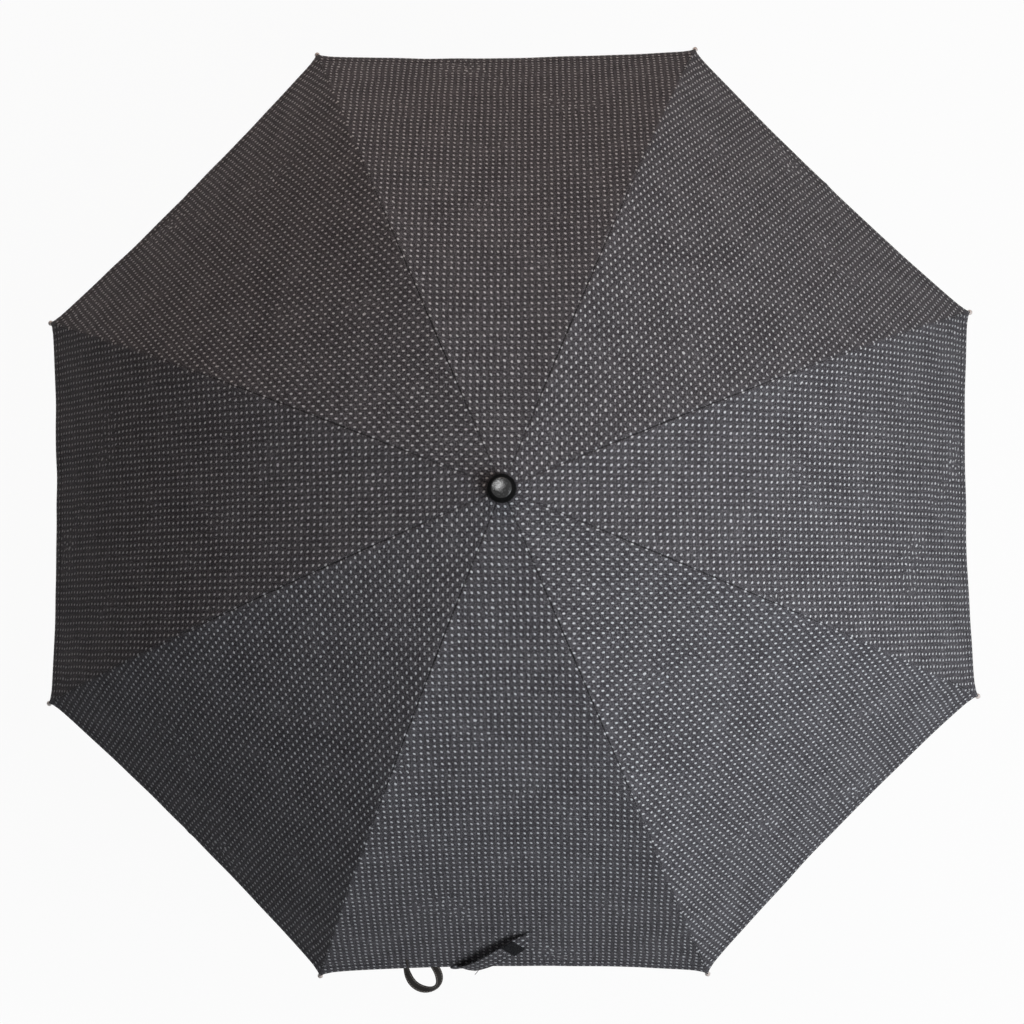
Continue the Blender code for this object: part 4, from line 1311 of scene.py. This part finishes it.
class UMBRELLA_OT_seam_tapes(bpy.types.Operator):
    """Lay the cloth tape of each seam over its inner rib"""

    bl_idname = "umbrella.seam_tapes"
    bl_label = "Seam Tapes"

    def execute(self, context):
        cloth = bpy.data.materials["dotted_cloth"]
        reach = RIB_RADIUS + TAPE_LIFT
        end = JOINT_RADIUS - TAPE_BEFORE_JOINT
        wrap = math.radians(TAPE_WRAP_DEG)

        def tape(row, column):
            radius = TAPE_START_RADIUS + (end - TAPE_START_RADIUS) * row / TAPE_ROWS
            angle = wrap * (column / TAPE_COLUMNS - 0.5)
            way = rib_direction(radius)
            out = Vector((-way.z * math.cos(angle), math.sin(angle), way.x * math.cos(angle)))
            return rib_point(radius) + out * reach, (reach * angle, radius), (1.0, 1.0)

        shape = sheet_shape(TAPE_ROWS, TAPE_COLUMNS, tape)
        mesh = thickened(shape, "tape", TAPE_THICKNESS, lined=False)
        for number in SPOKES:
            made = new_piece(f"seam_tape_{number}", to_azimuth(mesh, number), (cloth,))
            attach(made, f"rib_{number}")
        return {"FINISHED"}


RING_WIRE_RADIUS = 0.0005
RING_STEPS = 64
RING_BELOW_RUNNER_TOP = 0.005


class UMBRELLA_OT_hinge_rings(bpy.types.Operator):
    """Thread the wire rings through the crown's and the runner's eyes"""

    bl_idname = "umbrella.hinge_rings"
    bl_label = "Hinge Rings"

    def execute(self, context):
        steel = bpy.data.materials["plated_steel"]
        runner_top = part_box("runner")[1].z
        places = (("crown_ring", CROWN_PIVOT.z, "frame"),
                  ("runner_ring", runner_top - RING_BELOW_RUNNER_TOP, "runner_body"))
        for name, height, body in places:
            ring = []
            for step in range(RING_STEPS):
                angle = math.tau * step / RING_STEPS
                out = Vector((math.cos(angle), math.sin(angle), 0)) * CROWN_PIVOT.x
                ring.append(out + Vector((0, 0, height)))
            shape = bmesh.new()
            swept(shape, ring, RING_WIRE_RADIUS, resolution=2, closed=True)
            made = new_piece(name, mesh_of(shape, name), (steel,))
            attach(made, body)
        return {"FINISHED"}


# Handle and the finishes of the CAD pieces


GRIP_SPACING = 0.0030
GRIP_STEPS = 8
HOOK_STEPS = 48
HANDLE_END_BEVEL = 0.0015
HANDLE_END_SEGMENTS = 4
HANDLE_END_DEG = 60.0
COLLAR_GROOVE = 0.0005
COLLAR_GROOVE_SHARES = (0.30, 0.62)
COLLAR_TOP_BEVEL = 0.0016


class UMBRELLA_OT_handle(bpy.types.Operator):
    """Bend the crook handle and turn its collar"""

    bl_idname = "umbrella.handle"
    bl_label = "Handle"

    def execute(self, context):
        values = context.scene.umbrella_framework
        above = int(HANDLE_TOP / GRIP_SPACING) + 1
        path = [Vector((0, 0, HANDLE_TOP - GRIP_SPACING * step)) for step in range(above)]
        below = HANDLE_STRAIGHT_BELOW / GRIP_STEPS
        path += [Vector((0, 0, -below * step)) for step in range(1, GRIP_STEPS)]
        for step in range(HOOK_STEPS + 1):
            angle = math.pi * (1 + step / HOOK_STEPS)
            x = HOOK_RADIUS * (1 + math.cos(angle))
            path.append(Vector((x, 0, HOOK_RADIUS * math.sin(angle) - HANDLE_STRAIGHT_BELOW)))
        path.append(path[-1] + Vector((0, 0, HOOK_END_LENGTH)))
        shape = bmesh.new()
        swept(shape, path, HANDLE_RADIUS, resolution=12)
        bmesh.ops.remove_doubles(shape, verts=shape.verts, dist=WELD)
        ends = [edge for edge in shape.edges if len(edge.link_faces) == 2
                and edge.calc_face_angle(0) > math.radians(HANDLE_END_DEG)]
        bmesh.ops.bevel(shape, geom=ends, offset=HANDLE_END_BEVEL, segments=HANDLE_END_SEGMENTS,
                        profile=0.5, affect="EDGES", material=-1)
        finish = plastic_finish("grip_black", values.grip, 0.42, 1400.0, 0.00006, wear=0.4)
        made = new_piece("crook_handle", mesh_of(shape, "crook"), (finish,))
        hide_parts("handle")
        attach(made, "frame")
        self.collar(values)
        return {"FINISHED"}

    def collar(self, values):
        """The ring at the handle's top, with two turned grooves."""
        bottom = HANDLE_TOP + RUNNING_GAP
        groove = COLLAR_GROOVE
        low = COLLAR_RADIUS - groove
        outline = [(SHAFT_SLIDING_RADIUS, bottom), (low, bottom), (COLLAR_RADIUS, bottom + groove)]
        for share in COLLAR_GROOVE_SHARES:
            middle = bottom + COLLAR_HEIGHT * share
            outline += [(COLLAR_RADIUS, middle - groove), (low, middle), (COLLAR_RADIUS, middle + groove)]
        top = bottom + COLLAR_HEIGHT
        outline += [
            (COLLAR_RADIUS, top - COLLAR_TOP_BEVEL), (COLLAR_RADIUS - COLLAR_TOP_BEVEL, top),
            (SHAFT_SLIDING_RADIUS, top), (SHAFT_SLIDING_RADIUS, bottom),
        ]
        shape = bmesh.new()
        turned(shape, outline)
        steel = bpy.data.materials["plated_steel"]
        made = new_piece("collar", mesh_of(shape, "collar"), (steel,))
        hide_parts("handle_collar")
        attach(made, "frame")


class UMBRELLA_OT_metalwork(bpy.types.Operator):
    """Give the CAD model's own ribs, stretchers, shaft and hubs their finishes"""

    bl_idname = "umbrella.metalwork"
    bl_label = "Metal and Plastic Finishes"

    def execute(self, context):
        values = context.scene.umbrella_framework
        steel = bpy.data.materials["plated_steel"]
        plastic = plastic_finish("moulded_black", values.plastic, 0.46, 900.0, 0.00005)
        finishes = {"shaft": steel, "top_catch": steel, "bottom_catch": steel,
                    "crown": plastic, "runner": plastic, "cap_washer": plastic}
        for number in SPOKES:
            finishes[f"rib_inner_{number}"] = steel
            finishes[f"stretcher_{number}"] = steel
        for name, finish in finishes.items():
            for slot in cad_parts[name].material_slots:
                slot.material = finish
        self.crown_sleeve(plastic)
        return {"FINISHED"}

    def crown_sleeve(self, plastic):
        """The sleeve round the crown's neck, which fills the closed canopy's top."""
        neck_bottom, crown_top = (corner.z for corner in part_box("crown"))
        top = crown_top - CROWN_HEIGHT - RUNNING_GAP
        bottom = top - CROWN_SLEEVE_LENGTH
        ledge = neck_bottom - RUNNING_GAP
        bore = CROWN_NECK_RADIUS + RUNNING_GAP
        outline = [
            (bore, top), (CROWN_SLEEVE_RADIUS, top), (CROWN_SLEEVE_RADIUS, bottom + CROWN_SLEEVE_BEVEL),
            (CROWN_SLEEVE_RADIUS - CROWN_SLEEVE_BEVEL, bottom), (SHAFT_SLIDING_RADIUS, bottom),
            (SHAFT_SLIDING_RADIUS, ledge), (bore, ledge), (bore, top),
        ]
        shape = bmesh.new()
        turned(shape, outline)
        made = new_piece("crown_sleeve", mesh_of(shape, "sleeve"), (plastic,))
        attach(made, "frame")


# Studio


RING_RADIUS = 0.490
RING_BELOW_TIPS = 0.0076
CAMERA_TURN_DEG = 0.56
CAMERA_LEAN_ASIDE_DEG = -1.26
CAMERA_LEAN_AHEAD_DEG = -3.21
CAMERA_SHIFT_SHARES = (0.0046, -0.0081)
CAMERA_CLIP_END = 50.0
SENSOR_WIDTH = 36.0
FLOOR_HALF_SIZE = 12.0
FLOOR_GREY = 0.72
FLOOR_GLOW_NEAR = 0.95
FLOOR_GLOW_FROM = 0.5
FLOOR_GLOW_TO = 2.5
SKY_TINT = (0.97, 0.98, 1.0)


class UMBRELLA_OT_stage(bpy.types.Operator):
    """Set up the floor, the lamps and the camera"""

    bl_idname = "umbrella.stage"
    bl_label = "Stage"

    def execute(self, context):
        values = context.scene.umbrella_studio
        context.scene.view_settings.view_transform = "Standard"
        self.camera(context, values)
        self.floor()
        self.sky(context, values)
        self.lamps(context, values)
        return {"FINISHED"}

    def camera(self, context, values):
        """The photograph's view, almost straight down."""
        lean = (Matrix.Rotation(math.radians(CAMERA_TURN_DEG), 4, "Z")
                @ Matrix.Rotation(math.radians(CAMERA_LEAN_ASIDE_DEG), 4, "Y")
                @ Matrix.Rotation(math.radians(CAMERA_LEAN_AHEAD_DEG), 4, "X"))
        shift = Vector((*CAMERA_SHIFT_SHARES, 0)) * RING_RADIUS
        place = lean.inverted() @ (shift + Vector((0, 0, values.camera_distance)))
        data = bpy.data.cameras.new("Camera")
        data.lens = values.lens
        data.sensor_width = SENSOR_WIDTH
        data.clip_end = CAMERA_CLIP_END
        made = bpy.data.objects.new("Camera", data)
        tips = TIP_POINT.z - RING_BELOW_TIPS
        made.matrix_world = Matrix.Translation(place + Vector((0, 0, tips))) @ lean.inverted()
        context.scene.collection.objects.link(made)
        context.scene.camera = made

    def floor(self):
        """A wide pale floor under the crook, seen as white, and clear from below."""
        shape = bmesh.new()
        bmesh.ops.create_grid(shape, x_segments=2, y_segments=2, size=FLOOR_HALF_SIZE)
        bmesh.ops.translate(shape, vec=(0, 0, FLOOR_Z), verts=shape.verts)
        mesh = bpy.data.meshes.new("floor")
        shape.to_mesh(mesh)
        shape.free()
        made = bpy.data.objects.new("floor", mesh)
        bpy.context.scene.collection.objects.link(made)
        finish = Finish("pale_floor", roughness=0.9, specular=0.1)
        finish.set("Base Color", (FLOOR_GREY,) * 3)
        glow = finish.node("ShaderNodeEmission")
        glow.inputs["Strength"].default_value = 1.0
        rays = finish.node("ShaderNodeLightPath")
        seen = finish.math("MAXIMUM", rays.outputs["Is Camera Ray"], rays.outputs["Is Glossy Ray"])
        seen = finish.math("MAXIMUM", seen, rays.outputs["Is Transmission Ray"])
        both = finish.node("ShaderNodeMixShader")
        far = finish.vector("LENGTH", finish.vector("MULTIPLY", finish.place(), (1.0, 1.0, 0.0)))
        even = finish.step(far, FLOOR_GLOW_FROM, FLOOR_GLOW_TO, FLOOR_GLOW_NEAR, 1.0)
        finish.put(both.inputs[0], finish.math("MULTIPLY", seen, even))
        finish.put(both.inputs[1], finish.shader.outputs[0])
        finish.put(both.inputs[2], glow.outputs[0])
        below = finish.node("ShaderNodeNewGeometry")
        one_sided = finish.node("ShaderNodeMixShader")
        finish.put(one_sided.inputs[0], below.outputs["Backfacing"])
        finish.put(one_sided.inputs[1], both.outputs[0])
        finish.put(one_sided.inputs[2], finish.node("ShaderNodeBsdfTransparent").outputs[0])
        finish.put(finish.tree.nodes["Material Output"].inputs["Surface"], one_sided.outputs[0])
        mesh.materials.append(finish.material)

    def sky(self, context, values):
        """Even light from all round, seen as white."""
        world = bpy.data.worlds.new("studio")
        context.scene.world = world
        world.use_nodes = True
        tree = world.node_tree
        even = tree.nodes["Background"]
        even.inputs["Color"].default_value = (*SKY_TINT, 1.0)
        even.inputs["Strength"].default_value = values.sky
        white = tree.nodes.new("ShaderNodeBackground")
        white.inputs["Color"].default_value = (1.0, 1.0, 1.0, 1.0)
        rays = tree.nodes.new("ShaderNodeLightPath")
        seen = tree.nodes.new("ShaderNodeMath")
        seen.operation = "MAXIMUM"
        tree.links.new(rays.outputs["Is Camera Ray"], seen.inputs[0])
        tree.links.new(rays.outputs["Is Glossy Ray"], seen.inputs[1])
        also = tree.nodes.new("ShaderNodeMath")
        also.operation = "MAXIMUM"
        tree.links.new(seen.outputs[0], also.inputs[0])
        tree.links.new(rays.outputs["Is Transmission Ray"], also.inputs[1])
        both = tree.nodes.new("ShaderNodeMixShader")
        tree.links.new(also.outputs[0], both.inputs[0])
        tree.links.new(even.outputs[0], both.inputs[1])
        tree.links.new(white.outputs[0], both.inputs[2])
        tree.links.new(both.outputs[0], tree.nodes["World Output"].inputs["Surface"])

    def lamps(self, context, values):
        """A key soft box to the right, two weaker tinted ones, and one that only glossy things show.

        Each has its name, colour, watts, azimuth and height in degrees, distance and size.
        """
        boxes = (
            ("key", (0.93, 0.97, 1.0), values.key, values.key_azimuth, 39.0, 1.42, 0.8),
            ("warm", (1.0, 0.78, 0.66), 9.2, 92.0, 30.0, 1.6, 0.9),
            ("cool", (0.60, 0.78, 1.0), 1.3, -52.0, 30.0, 1.6, 0.9),
            ("overhead", (1.0, 1.0, 1.0), 64.0, 131.0, 73.0, 2.6, 1.15),
        )
        for name, colour, power, azimuth, height, distance, size in boxes:
            data = bpy.data.lights.new(name, "AREA")
            data.color = colour
            data.energy = power
            data.size = size
            made = bpy.data.objects.new(name, data)
            a, e = math.radians(azimuth), math.radians(height)
            source = Vector((math.cos(a) * math.cos(e), math.sin(a) * math.cos(e), math.sin(e)))
            made.rotation_mode = "QUATERNION"
            made.rotation_quaternion = source.to_track_quat("Z", "Y")
            made.location = Vector((0, 0, APEX_Z)) + source * distance
            made.visible_diffuse = name != "overhead"
            context.scene.collection.objects.link(made)


class UMBRELLA_PT_panel(bpy.types.Panel):
    """The umbrella's pieces and their values"""

    bl_idname = "UMBRELLA_PT_panel"
    bl_label = "Rain Umbrella"
    bl_space_type = "VIEW_3D"
    bl_region_type = "UI"
    bl_category = "Umbrella"

    def draw(self, context):
        layout = self.layout
        for operator in OPERATORS:
            layout.operator(operator.bl_idname)
        for name, group in VALUE_GROUPS.items():
            box = layout.box()
            box.label(text=group.__name__.removesuffix("Values"))
            for key in group.__annotations__:
                box.prop(getattr(context.scene, name), key)


OPERATORS = (
    UMBRELLA_OT_stage,
    UMBRELLA_OT_canopy,
    UMBRELLA_OT_hem_loop,
    UMBRELLA_OT_tie_strap,
    UMBRELLA_OT_top_cap,
    UMBRELLA_OT_rib_tips,
    UMBRELLA_OT_outer_rods,
    UMBRELLA_OT_rib_joints,
    UMBRELLA_OT_seam_tapes,
    UMBRELLA_OT_hinge_rings,
    UMBRELLA_OT_handle,
    UMBRELLA_OT_metalwork,
)
VALUE_GROUPS = {
    "umbrella_canopy": CanopyValues,
    "umbrella_trim": TrimValues,
    "umbrella_framework": FrameworkValues,
    "umbrella_studio": StudioValues,
}


def register():
    for made in (*VALUE_GROUPS.values(), *OPERATORS, UMBRELLA_PT_panel):
        bpy.utils.register_class(made)
    for name, group in VALUE_GROUPS.items():
        setattr(bpy.types.Scene, name, bpy.props.PointerProperty(type=group))


def unregister():
    for name in VALUE_GROUPS:
        delattr(bpy.types.Scene, name)
    for made in reversed((*VALUE_GROUPS.values(), *OPERATORS, UMBRELLA_PT_panel)):
        bpy.utils.unregister_class(made)


def main():
    register()
    for operator in OPERATORS:
        group, name = operator.bl_idname.split(".")
        getattr(getattr(bpy.ops, group), name)()


if __name__ == "__main__":
    main()
